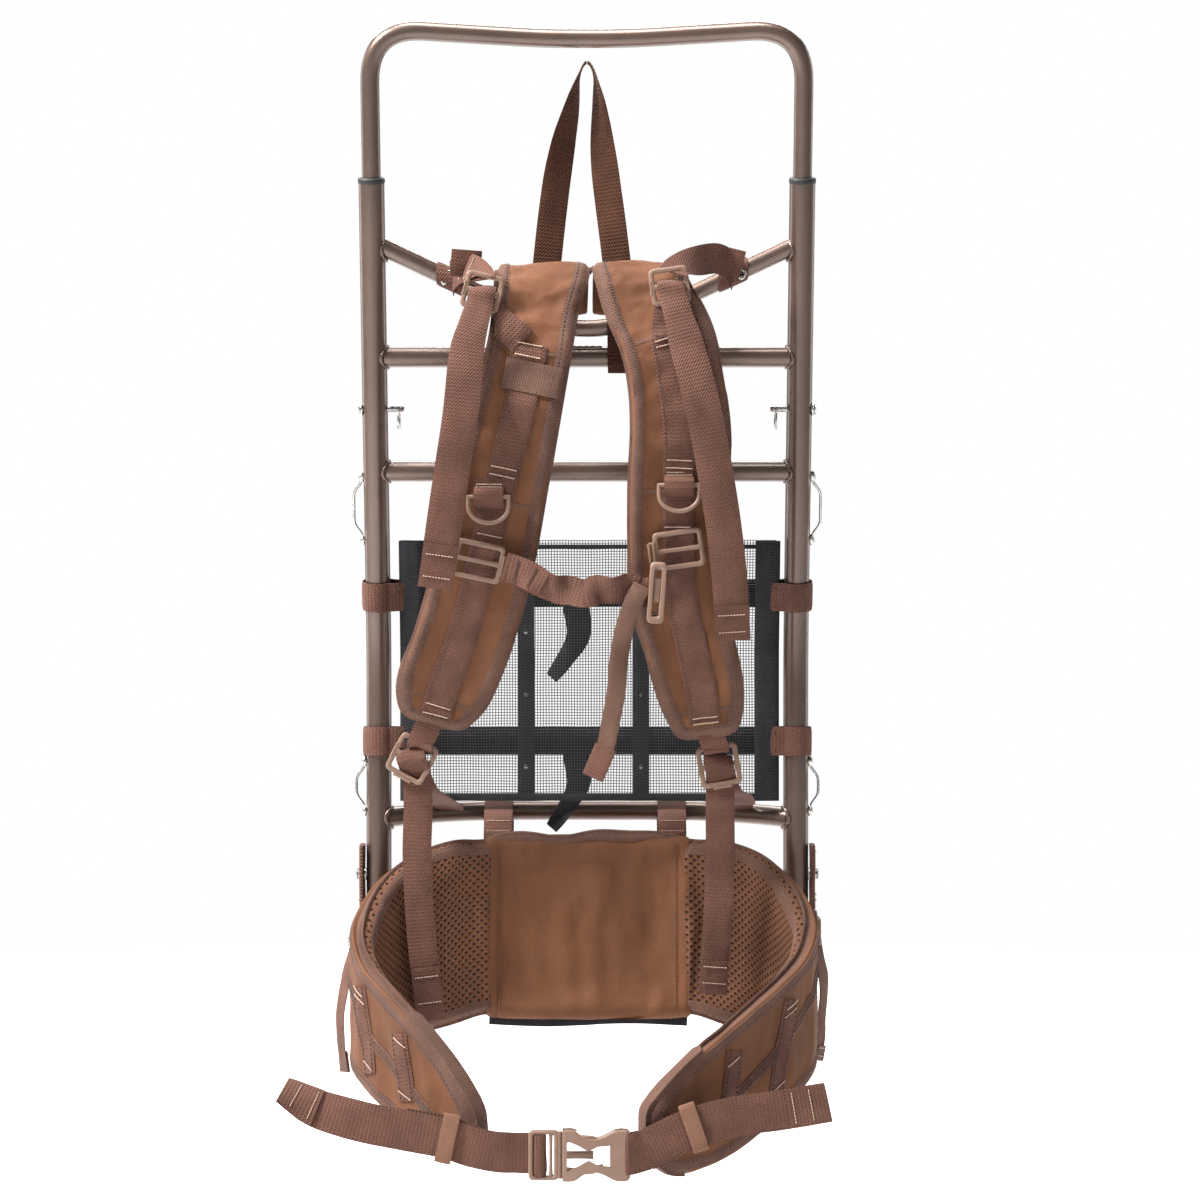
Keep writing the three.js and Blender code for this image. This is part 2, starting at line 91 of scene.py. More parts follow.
class Look:
    """A procedural material, built up around one Principled shader."""

    def __init__(self, name, colour, roughness, metallic=0.0, **constants):
        self.material = bpy.data.materials.new(name)
        self.material.use_nodes = True
        self.nodes = self.material.node_tree.nodes
        self.links = self.material.node_tree.links
        self.shader = self.nodes["Principled BSDF"]
        self.colour = colour
        self.shader.inputs["Base Color"].default_value = (*colour, 1)
        self.shader.inputs["Roughness"].default_value = roughness
        self.shader.inputs["Metallic"].default_value = metallic
        for socket, value in constants.items():
            self.shader.inputs[socket.replace("_", " ")].default_value = value
        self.material.diffuse_color = (*colour, 1)

    def node(self, kind, **settings):
        made = self.nodes.new(kind)
        for key, value in settings.items():
            setattr(made, key, value)
        return made

    def math(self, operation, a, b=None):
        made = self.node("ShaderNodeMath", operation=operation)
        for socket, value in zip(made.inputs, (a, b)):
            if value is None:
                continue
            if isinstance(value, (int, float)):
                socket.default_value = value
            else:
                self.links.new(value, socket)
        return made.outputs[0]

    def coordinates(self, source="Object"):
        return self.node("ShaderNodeTexCoord").outputs[source]

    def noise(self, scale, detail=3, source="Object", stretch=None):
        made = self.node("ShaderNodeTexNoise")
        made.inputs["Scale"].default_value = scale
        made.inputs["Detail"].default_value = detail
        vector = self.coordinates(source)
        if stretch:
            mapping = self.node("ShaderNodeMapping")
            mapping.inputs["Scale"].default_value = stretch
            self.links.new(vector, mapping.inputs["Vector"])
            vector = mapping.outputs[0]
        self.links.new(vector, made.inputs["Vector"])
        return made.outputs["Fac"]

    def ramp(self, value, stops):
        made = self.node("ShaderNodeValToRGB")
        made.color_ramp.elements[0].position = stops[0][0]
        made.color_ramp.elements[1].position = stops[-1][0]
        for place_at, _ in stops[1:-1]:
            made.color_ramp.elements.new(place_at)
        for element, (_, colour) in zip(made.color_ramp.elements, stops):
            element.color = (*colour, 1)
        self.links.new(value, made.inputs["Fac"])
        return made.outputs["Color"]

    def shades(self, value, dark, light, low=0.3, high=0.7):
        """Base colour from dark to light multiples of the material's own colour."""
        tones = [(low, [c * dark for c in self.colour]), (high, [min(c * light, 1) for c in self.colour])]
        return self.ramp(value, tones)

    def multiply(self, a, b, amount=1.0):
        made = self.node("ShaderNodeMix", data_type="RGBA", blend_type="MULTIPLY")
        made.inputs["Factor"].default_value = amount
        self.links.new(a, made.inputs["A"])
        self.links.new(b, made.inputs["B"])
        return made.outputs["Result"]

    def paint(self, colour):
        self.links.new(colour, self.shader.inputs["Base Color"])

    def rough(self, value, low, high):
        made = self.node("ShaderNodeMapRange")
        made.inputs["To Min"].default_value = low
        made.inputs["To Max"].default_value = high
        self.links.new(value, made.inputs["Value"])
        self.links.new(made.outputs[0], self.shader.inputs["Roughness"])

    def bump(self, height, strength, distance, below=None):
        made = self.node("ShaderNodeBump")
        made.inputs["Strength"].default_value = strength
        made.inputs["Distance"].default_value = distance
        self.links.new(height, made.inputs["Height"])
        if below is not None:
            self.links.new(below, made.inputs["Normal"])
        self.links.new(made.outputs[0], self.shader.inputs["Normal"])
        return made.outputs[0]

    def waves(self, across_pitch, along_pitch):
        """Threads from the UV map, which is in metres: 0 in the gaps and 1 on the crowns."""
        split = self.node("ShaderNodeSeparateXYZ")
        self.links.new(self.coordinates("UV"), split.inputs[0])
        turn = 2 * math.pi
        across = self.math("SINE", self.math("MULTIPLY", split.outputs["X"], turn / across_pitch))
        along = self.math("SINE", self.math("MULTIPLY", split.outputs["Y"], turn / along_pitch))
        product = self.math("MULTIPLY", across, along)
        return self.math("MULTIPLY_ADD", product, 0.5), across, along


def coated_look():
    look = Look("bronze_coat", (0.125, 0.082, 0.063), 0.33, 0.65, Coat_Weight=0.6, Coat_Roughness=0.18)
    look.paint(look.shades(look.noise(9, 4), 0.85, 1.2))
    look.rough(look.noise(60, 2), 0.31, 0.42)
    look.bump(look.noise(1400, 2), 0.12, 0.0004)
    return look.material


def steel_look():
    look = Look("bright_steel", (0.60, 0.58, 0.56), 0.28, 1.0)
    look.paint(look.shades(look.noise(300, 3), 0.7, 1.15))
    look.rough(look.noise(500, 2), 0.18, 0.4)
    return look.material


def plastic_look(name, colour, roughness=0.4):
    look = Look(name, colour, roughness, 0.0, Specular_IOR_Level=0.45)
    look.paint(look.shades(look.noise(40, 3), 0.9, 1.12))
    look.rough(look.noise(120, 3), roughness - 0.08, roughness + 0.1)
    look.bump(look.noise(2200, 2), 0.15, 0.0003)
    return look.material


def webbing_look(name, colour, across_pitch=0.0026, along_pitch=0.0031, strength=0.8):
    look = Look(name, colour, 0.78, 0.0, Sheen_Weight=0.03, Sheen_Roughness=0.5, Specular_IOR_Level=0.18)
    weave, across, along = look.waves(across_pitch, along_pitch)
    cloudy = look.shades(look.noise(35, 4), 0.82, 1.22)
    # Painted shade: the base colour falls to 0.36 in the gaps between the threads of the weave, on top of the bump
    # relief
    weave_painted_shade = look.ramp(look.math("ADD", weave, 0.5), [(0.1, (0.36, 0.36, 0.36)), (0.85, (1, 1, 1))])
    look.paint(look.multiply(cloudy, weave_painted_shade))
    ribs = look.bump(along, 0.35, 0.0004)
    look.bump(weave, strength, 0.0006, ribs)
    return look.material


def cloth_look(name, colour, pitch=0.0011):
    look = Look(name, colour, 0.66, 0.0, Sheen_Weight=0.02, Sheen_Roughness=0.45, Specular_IOR_Level=0.22)
    weave, _, _ = look.waves(pitch, pitch)
    broad = look.shades(look.noise(14, 5), 0.82, 1.2)
    slubs = look.ramp(look.noise(220, 3, stretch=(1, 1, 6)), [(0.3, (0.82, 0.82, 0.82)), (0.75, (1, 1, 1))])
    # Painted shade: the base colour falls to 0.75 in the gaps between the threads of the weave
    weave_painted_shade = look.ramp(look.math("ADD", weave, 0.5), [(0.0, (0.75, 0.75, 0.75)), (0.8, (1, 1, 1))])
    look.paint(look.multiply(look.multiply(broad, slubs), weave_painted_shade))
    creases = look.bump(look.noise(42, 5), 0.5, 0.0026)
    look.bump(weave, 0.5, 0.0003, creases)
    return look.material


def spacer_look():
    look = Look("spacer_mesh", (0.135, 0.058, 0.033), 0.85, 0.0, Specular_IOR_Level=0.2)
    cells = look.node("ShaderNodeTexVoronoi", feature="F1", distance="EUCLIDEAN")
    cells.inputs["Scale"].default_value = 1
    cells.inputs["Randomness"].default_value = 0.0
    split = look.node("ShaderNodeSeparateXYZ")
    look.links.new(look.coordinates("UV"), split.inputs[0])
    joined = look.node("ShaderNodeCombineXYZ")
    pitch = 0.0033
    u = look.math("DIVIDE", split.outputs["X"], pitch)
    v = look.math("DIVIDE", split.outputs["Y"], pitch)
    look.links.new(look.math("ADD", u, v), joined.inputs[0])
    look.links.new(look.math("SUBTRACT", u, v), joined.inputs[1])
    half = look.node("ShaderNodeVectorMath", operation="SCALE")
    half.inputs["Scale"].default_value = 0.5
    look.links.new(joined.outputs[0], half.inputs[0])
    look.links.new(half.outputs[0], cells.inputs["Vector"])
    # Painted shade: the centre of each cell is painted near black, standing in for the shade inside the mesh's holes;
    # the bump gives their depth
    painted_hole_shade = look.ramp(cells.outputs["Distance"], [(0.19, (0.10, 0.08, 0.07)), (0.3, (1, 1, 1))])
    look.paint(look.multiply(look.shades(look.noise(20, 4), 0.85, 1.25), painted_hole_shade))
    look.bump(cells.outputs["Distance"], 0.9, 0.0012)
    return look.material


MATERIAL = {
    "coat": coated_look(),
    "steel": steel_look(),
    "tan": plastic_look("tan_plastic", (0.21, 0.125, 0.088)),
    "black": plastic_look("black_plastic", (0.018, 0.018, 0.018), 0.5),
    "stay": plastic_look("black_stay", (0.016, 0.016, 0.018), 0.45),
    "thread": plastic_look("vinyl_thread", (0.022, 0.022, 0.024), 0.45),
    "webbing": webbing_look("brown_webbing", (0.122, 0.055, 0.039)),
    "binding": webbing_look("brown_binding", (0.132, 0.068, 0.049), 0.0020, 0.0022, 0.9),
    "dark_webbing": webbing_look("dark_brown_webbing", (0.072, 0.028, 0.015)),
    "black_webbing": webbing_look("black_webbing", (0.020, 0.019, 0.021)),
    "sleeve": webbing_look("black_sleeve", (0.022, 0.022, 0.025), 0.0026, 0.0026, 1.0),
    "cloth": cloth_look("coyote_cloth", (0.160, 0.062, 0.027)),
    "spacer": spacer_look(),
    "stitch": plastic_look("pale_thread", (0.50, 0.36, 0.27), 0.6),
    "seam": plastic_look("brown_thread", (0.060, 0.030, 0.020), 0.7),
}


# ---------------------------------------------------------------- mesh making

def piece(name, points, faces, look, body="frame", uv=None, stands_for=(), crease=50):
    """A mesh object in the row frame from points in millimetres; uv is one pair a point, in metres."""
    mesh = bpy.data.meshes.new(name)
    mesh.from_pydata([tuple(p) for p in place(points)], [], [tuple(int(i) for i in f) for f in faces])
    mesh.validate()
    if uv is not None:
        layer = mesh.uv_layers.new(name="UVMap")
        corners = np.empty(len(mesh.loops), np.int32)
        mesh.loops.foreach_get("vertex_index", corners)
        layer.data.foreach_set("uv", np.asarray(uv, np.float32)[corners].ravel())
    mesh.shade_smooth()
    mesh.set_sharp_from_angle(angle=math.radians(crease))
    made = bpy.data.objects.new(name, mesh)
    bpy.context.scene.collection.objects.link(made)
    made.data.materials.append(MATERIAL[look])
    if body:
        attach(made, body)
    if stands_for:
        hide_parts(*stands_for)
    return made


def through(stations, steps=8):
    """A smooth run through the stations; every column is carried along."""
    s = np.array(stations, float)
    ends = np.vstack([2 * s[0] - s[1], s, 2 * s[-1] - s[-2]])
    out = []
    for i in range(len(s) - 1):
        a, b, c, d = ends[i:i + 4]
        for k in range(steps):
            t = k / steps
            out.append(0.5 * (2 * b + (c - a) * t + (2 * a - 5 * b + 4 * c - d) * t * t
                              + (3 * b - a - 3 * c + d) * t ** 3))
    return np.array(out + [s[-1]])


def rounded(points, setback, steps=8):
    """A run of straight lines with each corner rounded off."""
    p = np.array(points, float)
    out = [p[0]]
    for i in range(1, len(p) - 1):
        into = p[i] + (p[i - 1] - p[i]) * setback / np.linalg.norm(p[i - 1] - p[i])
        away = p[i] + (p[i + 1] - p[i]) * setback / np.linalg.norm(p[i + 1] - p[i])
        for k in range(steps + 1):
            t = k / steps
            out.append(into * (1 - t) ** 2 + 2 * p[i] * t * (1 - t) + away * t * t)
    return np.array(out + [p[-1]])


def unit(vectors):
    vectors = np.asarray(vectors, float)
    return vectors / np.maximum(np.linalg.norm(vectors, axis=-1, keepdims=True), 1e-9)


def tangents(points):
    return unit(np.gradient(points, axis=0))


def lengths(points):
    return np.concatenate([[0], np.cumsum(np.linalg.norm(np.diff(points, axis=0), axis=1))])


def loft(sections, closed_run=False, caps=True):
    """Faces over an array of sections, each a closed loop of the same number of points."""
    rings, around = sections.shape[:2]
    faces = []
    for r in range(rings if closed_run else rings - 1):
        here, there = r * around, ((r + 1) % rings) * around
        for i in range(around):
            j = (i + 1) % around
            faces.append((here + i, here + j, there + j, there + i))
    if caps and not closed_run:
        faces.append(tuple(range(around - 1, -1, -1)))
        faces.append(tuple(range((rings - 1) * around, rings * around)))
    return faces


def tube(points, radius, sides=32, closed_run=False):
    """Points and faces of a round tube; radius may be one number or one for each point."""
    points = np.asarray(points, float)
    radius = np.broadcast_to(radius, len(points))
    along = tangents(points)
    if closed_run:
        along = unit(np.roll(points, -1, 0) - np.roll(points, 1, 0))
    normal = unit(np.cross(along[0], [0.123, 0.456, 0.88]))
    sections = []
    for p, t, r in zip(points, along, radius):
        normal = unit(normal - t * normal.dot(t))
        side = np.cross(t, normal)
        angles = np.linspace(0, 2 * math.pi, sides, endpoint=False)[:, None]
        sections.append(p + r * (np.cos(angles) * normal + np.sin(angles) * side))
    sections = np.array(sections)
    return sections.reshape(-1, 3), loft(sections, closed_run)


def merge(*parts):
    """Several (points, faces) as one."""
    points, faces, start = [], [], 0
    for p, f in parts:
        points.append(np.asarray(p, float))
        faces += [tuple(i + start for i in face) for face in f]
        start += len(p)
    return np.vstack(points), faces


def turned(profile, centre, axis, sides=32):
    """A lathe body: profile is (radius, height) pairs along axis."""
    axis = unit(axis)
    u = unit(np.cross(axis, [0.31, 0.72, 0.61]))
    w = np.cross(axis, u)
    angles = np.linspace(0, 2 * math.pi, sides, endpoint=False)[:, None]
    ring = np.cos(angles) * u + np.sin(angles) * w
    sections = np.array([np.asarray(centre, float) + h * axis + r * ring for r, h in profile])
    return sections.reshape(-1, 3), loft(sections)


def dome(centre, axis, radius, height, sides=20):
    steps = [(radius * math.cos(a), height * math.sin(a)) for a in np.linspace(0, math.pi / 2 * 0.96, 6)]
    return turned([(radius, -0.6)] + steps, centre, axis, sides)


def tube_piece(name, points, radius, look="coat", sides=40, **options):
    return piece(name, *tube(points, radius, sides), look, **options)


class Band:
    """A strap, pad or wing: a run of stations with a width direction and a face direction."""

    def __init__(self, stations, across=(1, 0, 0), plumb=False, steps=8, turn=None):
        data = through(stations, steps)
        self.centre = data[:, :3]
        self.width = data[:, 3]
        self.extra = data[:, 4:]
        along = tangents(self.centre)
        across = np.broadcast_to(np.asarray(across, float), along.shape)
        shift = 0 if plumb else (across * along).sum(1, keepdims=True)
        self.wide = unit(across - along * shift)
        self.face = unit(np.cross(along, self.wide))
        if turn is not None:
            angle = np.radians(through([[t] for t in turn], steps))
            wide, face = self.wide, self.face
            self.wide = np.cos(angle) * wide + np.sin(angle) * face
            self.face = np.cos(angle) * face - np.sin(angle) * wide
        self.length = lengths(self.centre)

    def count(self):
        return len(self.centre)

    def at(self, row, u, lift=0.0):
        return self.centre[row] + self.wide[row] * (u * self.width[row] / 2) + self.face[row] * lift


def strap(band, thick=1.7, columns=8, bow=0.0, ripple=0.0, seed=0.0):
    """Points, faces and uv of flat webbing along a band."""
    u = np.linspace(-1, 1, columns + 1)
    half = thick / 2 * np.where(np.abs(u) > 0.99, 0.45, 1.0)
    sections, uv = [], []
    for row in range(band.count()):
        s = band.length[row]
        wobble = np.array([noise.noise(Vector((s / 23 + seed, x * 0.8, seed))) for x in u]) * ripple
        middle = bow * (1 - u ** 2) + wobble
        top = [band.at(row, x, m + h) for x, m, h in zip(u, middle, half)]
        under = [band.at(row, x, m - h) for x, m, h in zip(u, middle, half)]
        sections.append(top + under[::-1])
        across = list(u) + list(u[::-1])
        uv += [(x * band.width[row] / 2000, s / 1000) for x in across]
    sections = np.array(sections)
    return sections.reshape(-1, 3), loft(sections), uv


def strap_piece(name, stations, width, look="webbing", across=(1, 0, 0), turn=None, steps=8, body="frame",
                stands_for=(), plumb=False, **shape):
    widths = np.broadcast_to(width, len(stations))
    band = Band([[*s, w] for s, w in zip(stations, widths)], across, plumb, steps, turn)
    points, faces, uv = strap(band, **shape)
    made = piece(name, points, faces, look, body, uv, stands_for, crease=60)
    made["length_mm"] = float(band.length[-1])
    return made, band


def stitches(name, runs, look="stitch", body="frame", pitch=4.2, size=0.42, bar=2.6):
    """Short raised threads along each run; a run is (points, face direction)."""
    parts = []
    for points, face in runs:
        points = np.asarray(points, float)
        s = lengths(points)
        spots = np.arange(pitch / 2, s[-1], pitch)
        where = np.column_stack([np.interp(spots, s, points[:, k]) for k in range(3)])
        ahead = np.column_stack([np.interp(np.minimum(spots + 0.5, s[-1]), s, points[:, k]) for k in range(3)])
        along = unit(ahead - where + 1e-9)
        face = np.broadcast_to(face, where.shape) if np.ndim(face) == 1 else np.column_stack(
            [np.interp(spots, s, np.asarray(face)[:, k]) for k in range(3)])
        for w, t, f in zip(where, along, unit(face)):
            ends = np.array([w - t * bar / 2, w - t * bar / 4 + f * size, w + t * bar / 4 + f * size, w + t * bar / 2])
            parts.append(tube(ends, [size * 0.5, size, size, size * 0.5], 6))
    if parts:
        return piece(name, *merge(*parts), look, body)


# ---------------------------------------------------------------- camera, stage and lights

def make_camera():
    """Straight on, level with the upper edge of the back panel, from three metres."""
    data = bpy.data.cameras.new("camera")
    data.lens = 101.35
    data.clip_end = 50
    camera = bpy.data.objects.new("camera", data)
    camera.location = place([11.2, -3000, 386])
    camera.rotation_euler = (math.pi / 2, 0, 0)
    bpy.context.scene.collection.objects.link(camera)
    bpy.context.scene.camera = camera


def make_stage():
    low = cad_box[0][2] - 0.14
    rim = [(3.2 * math.cos(a), 3.2 * math.sin(a), low) for a in np.linspace(0, 2 * math.pi, 97)[:-1]]
    mesh = bpy.data.meshes.new("studio_floor")
    mesh.from_pydata([(0, 0, low)] + rim, [], [(0, k, k % 96 + 1) for k in range(1, 97)])
    floor = bpy.data.objects.new("studio_floor", mesh)
    bpy.context.scene.collection.objects.link(floor)
    look = Look("floor_paper", (0.9, 0.9, 0.9), 0.9)
    look.paint(look.shades(look.noise(3, 2), 0.995, 1.005))
    mesh.materials.append(look.material)


def area_light(name, location, target, size, energy):
    data = bpy.data.lights.new(name, "AREA")
    data.shape = "RECTANGLE"
    data.size, data.size_y = size
    data.energy = energy
    lamp = bpy.data.objects.new(name, data)
    lamp.location = location
    lamp.rotation_euler = (Vector(target) - Vector(location)).to_track_quat("-Z", "Y").to_euler()
    bpy.context.scene.collection.objects.link(lamp)


def make_lights():
    aim = (0, 0, -0.45)
    area_light("key", (-1.75, -0.8, 1.5), aim, (0.6, 0.8), 190)
    area_light("top", (-0.2, -0.35, 1.8), aim, (1.4, 0.9), 62)
    area_light("rim_left", (-2.0, 1.2, 0.0), aim, (0.6, 2.0), 12)
    area_light("rim_right", (2.0, 1.2, 0.0), aim, (0.6, 2.0), 10)
    area_light("floor_back", (0, 1.9, 1.4), (0, 2.0, -1.1), (3.0, 1.2), 95)
    world = bpy.data.worlds.new("studio")
    world.use_nodes = True
    nodes, links = world.node_tree.nodes, world.node_tree.links
    direction = nodes.new("ShaderNodeTexCoord")
    split = nodes.new("ShaderNodeSeparateXYZ")
    ramp = nodes.new("ShaderNodeValToRGB")
    ramp.color_ramp.elements[0].position, ramp.color_ramp.elements[0].color = 0.24, (1, 1, 1, 1)
    ramp.color_ramp.elements[1].position, ramp.color_ramp.elements[1].color = 0.42, (0.11, 0.11, 0.115, 1)
    links.new(direction.outputs["Generated"], split.inputs[0])
    links.new(split.outputs["Z"], ramp.inputs["Fac"])
    links.new(ramp.outputs["Color"], nodes["Background"].inputs["Color"])
    nodes["Background"].inputs["Strength"].default_value = 0.4
    paper = nodes.new("ShaderNodeBackground")
    paper.inputs["Color"].default_value = (1, 1, 1, 1)
    seen = nodes.new("ShaderNodeLightPath")
    either = nodes.new("ShaderNodeMixShader")
    links.new(seen.outputs["Is Camera Ray"], either.inputs["Fac"])
    links.new(nodes["Background"].outputs[0], either.inputs[1])
    links.new(paper.outputs[0], either.inputs[2])
    links.new(either.outputs[0], nodes["World Output"].inputs["Surface"])
    bpy.context.scene.world = world
    bpy.context.scene.view_settings.view_transform = "Standard"


make_camera()
make_stage()
make_lights()


# ---------------------------------------------------------------- tube frame

def weld_bead(x_side, up, bar_radius, leaning_part=True, slope=0.0):
    """A lumpy fillet where a bar meets an upright."""
    angles = np.linspace(0, 2 * math.pi, 72, endpoint=False)
    y = bar_radius * 1.02 * np.cos(angles)
    z = bar_radius * 1.02 * np.sin(angles) * (1 + abs(slope) * 0.12)
    x = x_side * (UPRIGHT_X - np.sqrt(UPRIGHT_R ** 2 - y ** 2)) - x_side * 0.4
    lumps = 1.7 + 0.25 * np.sin(angles * 23)
    make = leaning if leaning_part else (lambda a, b, c: (a, b, c))
    shift = slope * (UPRIGHT_X - UPRIGHT_R - np.abs(x))
    ring = [make(a, b, up + c - d) for a, b, c, d in zip(x, y, z, shift)]
    return tube(ring, lumps, 10, True)


def make_frame_tubes():
    for name, side in SIDES.items():
        x = side * UPRIGHT_X
        path = rounded([(x, 0, 0), (x, 0, BEND), leaning(x, 0, UPRIGHT_TOP)], 40, 12)
        tube_piece(f"upright_{name}_tube", path, UPRIGHT_R, sides=56, stands_for=[f"upright_{name}"])
        low = [(11.1, -3.2), (11.1, -1.2), (10.6, -0.3), (9.0, 0.0)]
        piece(f"foot_plug_{name}", *turned([(0.01, -3.6), (9.5, -3.6), *low, (8.9, 4)], (x, 0, 0), (0, 0, 1), 48),
              "black", stands_for=[f"foot_cap_{name}"])
        up = unit(np.subtract(leaning(0, 0, 1), leaning(0, 0, 0)))
        ring = [(8.2, 0), (11.2, 0), (11.6, 0.8), (11.6, 3.6), (11.0, 4.8), (9.4, 5.2), (8.2, 4.9)]
        piece(f"collar_ring_{name}", *turned(ring, leaning(x, 0, UPRIGHT_TOP), up, 48), "black",
              stands_for=[f"collar_{name}"])
    top = [leaning(-UPRIGHT_X, 0, 222), leaning(-UPRIGHT_X, 0, 546), leaning(-35, 0, 537), leaning(35, 0, 537),
           leaning(UPRIGHT_X, 0, 546), leaning(UPRIGHT_X, 0, 222)]
    tube_piece("top_bar_tube", corner_path(top), LEG_R, sides=44, body="extension", stands_for=["extension_bar"])
    yoke = rounded([leaning(-178, 0, 360), leaning(0, 0, 275), leaning(178, 0, 360)], 62, 20)
    tube_piece("yoke_tube", yoke, YOKE_R, stands_for=["yoke_bar"])
    for node, up in (("crossbar_upper", 263), ("crossbar_middle", 161.5)):
        line = [leaning(x, 0, up) for x in np.linspace(-176, 176, 12)]
        tube_piece(f"{node}_tube", line, BAR_R, stands_for=[node])
    for node, height, back, rise in (("crossbar_lower", 192.5, 38, 4.5), ("crossbar_bottom", 50, 38, 0)):
        line = rounded([(-180, 1, height), (-120, back, height + rise), (120, back, height + rise), (180, 1, height)],
                       58, 12)
        tube_piece(f"{node}_tube", line, BAR_R, stands_for=[node])
    beads = []
    for side in SIDES.values():
        beads += [weld_bead(side, 263, BAR_R), weld_bead(side, 161.5, BAR_R)]
        beads += [weld_bead(side, 356, YOKE_R, slope=0.45)]
        beads += [weld_bead(side, 193, BAR_R, False), weld_bead(side, 50, BAR_R, False)]
    piece("weld_beads", *merge(*beads), "coat")
    for side, name in ((-9, "a"), (9, "b")):
        line = [leaning(x, -2.2, 271.4) for x in np.linspace(-13, 13, 15)]
        tube_piece(f"yoke_weld_{name}", [np.add(p, (0, side * 0.25, 0)) for p in line],
                   1.7 + 0.3 * np.sin(np.arange(15) * 2.1), sides=10)


def corner_path(points):
    """The top bar's path: tight outer corners and soft bends at the dipped grip."""
    outer = rounded(points[:3], 46, 12)[:-1]
    middle = rounded([outer[-1], points[2], points[3], points[4] * 1], 26, 8) if False else None
    p = [np.array(q, float) for q in points]

    def bend(a, b, c, setback, steps):
        into = b + (a - b) * setback / np.linalg.norm(a - b)
        away = b + (c - b) * setback / np.linalg.norm(c - b)
        return [into * (1 - t) ** 2 + 2 * b * t * (1 - t) + away * t * t for t in np.linspace(0, 1, steps + 1)]

    path = [p[0]] + bend(p[0], p[1], p[2], 46, 14) + bend(p[1], p[2], p[3], 26, 6)
    path += bend(p[2], p[3], p[4], 26, 6) + bend(p[3], p[4], p[5], 46, 14) + [p[5]]
    return np.array(path)


def make_fittings():
    for name, side in SIDES.items():
        for level, height, lean_part, grip in (("upper", 217, True, 1.4), ("lower", 143, False, 7)):
            put = leaning if lean_part else (lambda a, b, c: (a, b, c))
            outer, inner = UPRIGHT_R + grip, -UPRIGHT_R - 13.5
            axis = (side, 0, 0)
            centre = np.array(put(side * UPRIGHT_X, 0, height))
            shaft = turned([(0.2, inner - 0.8), (2.2, inner - 0.6), (3, inner + 1), (3, outer)], centre, axis, 20)
            head = turned([(3, outer), (4.6, outer), (5, outer + 0.5), (5, outer + 1.5), (4.2, outer + 2), (0.2, outer + 2.1)],
                          centre, axis, 24)
            washer = turned([(3, UPRIGHT_R + 0.1), (6, UPRIGHT_R + 0.1), (6, UPRIGHT_R + 0.9), (3, UPRIGHT_R + 0.9)],
                            centre, axis, 24)
            piece(f"clevis_{level}_{name}", *merge(shaft, head, washer), "steel",
                  stands_for=[f"clevis_pin_{level}_{name}"])
            hole = np.array(put(side * (UPRIGHT_X - UPRIGHT_R - 9.5), 0, height))
            down = np.subtract(put(0, 0, -1), put(0, 0, 0))
            back = np.subtract(put(0, 1, 0), put(0, 0, 0))
            turns = np.linspace(0, 4 * math.pi, 96)
            coil = [hole + down * 9 + 9 * (np.sin(a) * back - np.cos(a) * down) + np.array([side * 0.55 * (a / math.pi - 2) * 0.5, 0, 0])
                    for a in turns]
            ring_body = f"ring_{name}" if level == "upper" else "frame"
            extra = {"stands_for": [f"split_ring_{name}"]} if level == "upper" else {}
            tube_piece(f"key_ring_{level}_{name}", coil, 0.62, "steel", 10, body=ring_body, **extra)
        for level, low, high, lean_part in (("upper", 100, 157, True), ("lower", 199, 243, False)):
            put = leaning if lean_part else (lambda a, b, c: (a, b, c))
            face = UPRIGHT_R + 1.7
            route = [(face, low - 1), (face, low + 5), (20, low + 14), (20, high - 14), (face, high - 5), (face, high + 1)]
            wire = rounded([put(side * (UPRIGHT_X + x), 0, z) for x, z in route], 4.5, 6)
            parts = [tube(wire, 1.3, 14)]
            for z in (low, high):
                spot = put(side * (UPRIGHT_X + UPRIGHT_R + 2.2), 0, z)
                parts.append(dome(spot, (side, 0, 0), 3.8, 1.8, 24))
                flat = [put(side * (UPRIGHT_X + UPRIGHT_R + 1.3), 0, z + d) for d in np.linspace(-5, 5, 9)]
                parts.append(tube(flat, [0.8, 1.8, 2.6, 2.9, 3.0, 2.9, 2.6, 1.8, 0.8], 14))
            piece(f"lash_wire_{level}_{name}", *merge(*parts), "steel", stands_for=[f"lash_loop_{level}_{name}"])


make_frame_tubes()
make_fittings()


# ---------------------------------------------------------------- surfaces to sew on

class Surface:
    """The skin of a finished piece, to lay other pieces on."""

    def __init__(self, *pieces):
        points, faces = [], []
        for made in pieces:
            start = len(points)
            points += [Vector(v.co) * 1000 - Vector((0, HANG_FORWARD, -HANG_HEIGHT)) for v in made.data.vertices]
            faces += [[start + i for i in p.vertices] for p in made.data.polygons]
        self.tree = BVHTree.FromPolygons(points, faces)

    def land(self, point, face, lift=0.9, reach=45):
        """The spot on the skin under a point, seen along the face direction."""
        point, face = Vector(point), Vector(face).normalized()
        spot, _, _, _ = self.tree.ray_cast(point + face * reach, -face, 2 * reach)
        if spot is None:
            spot, _, _, _ = self.tree.find_nearest(point)
        return np.array(spot + face * lift)


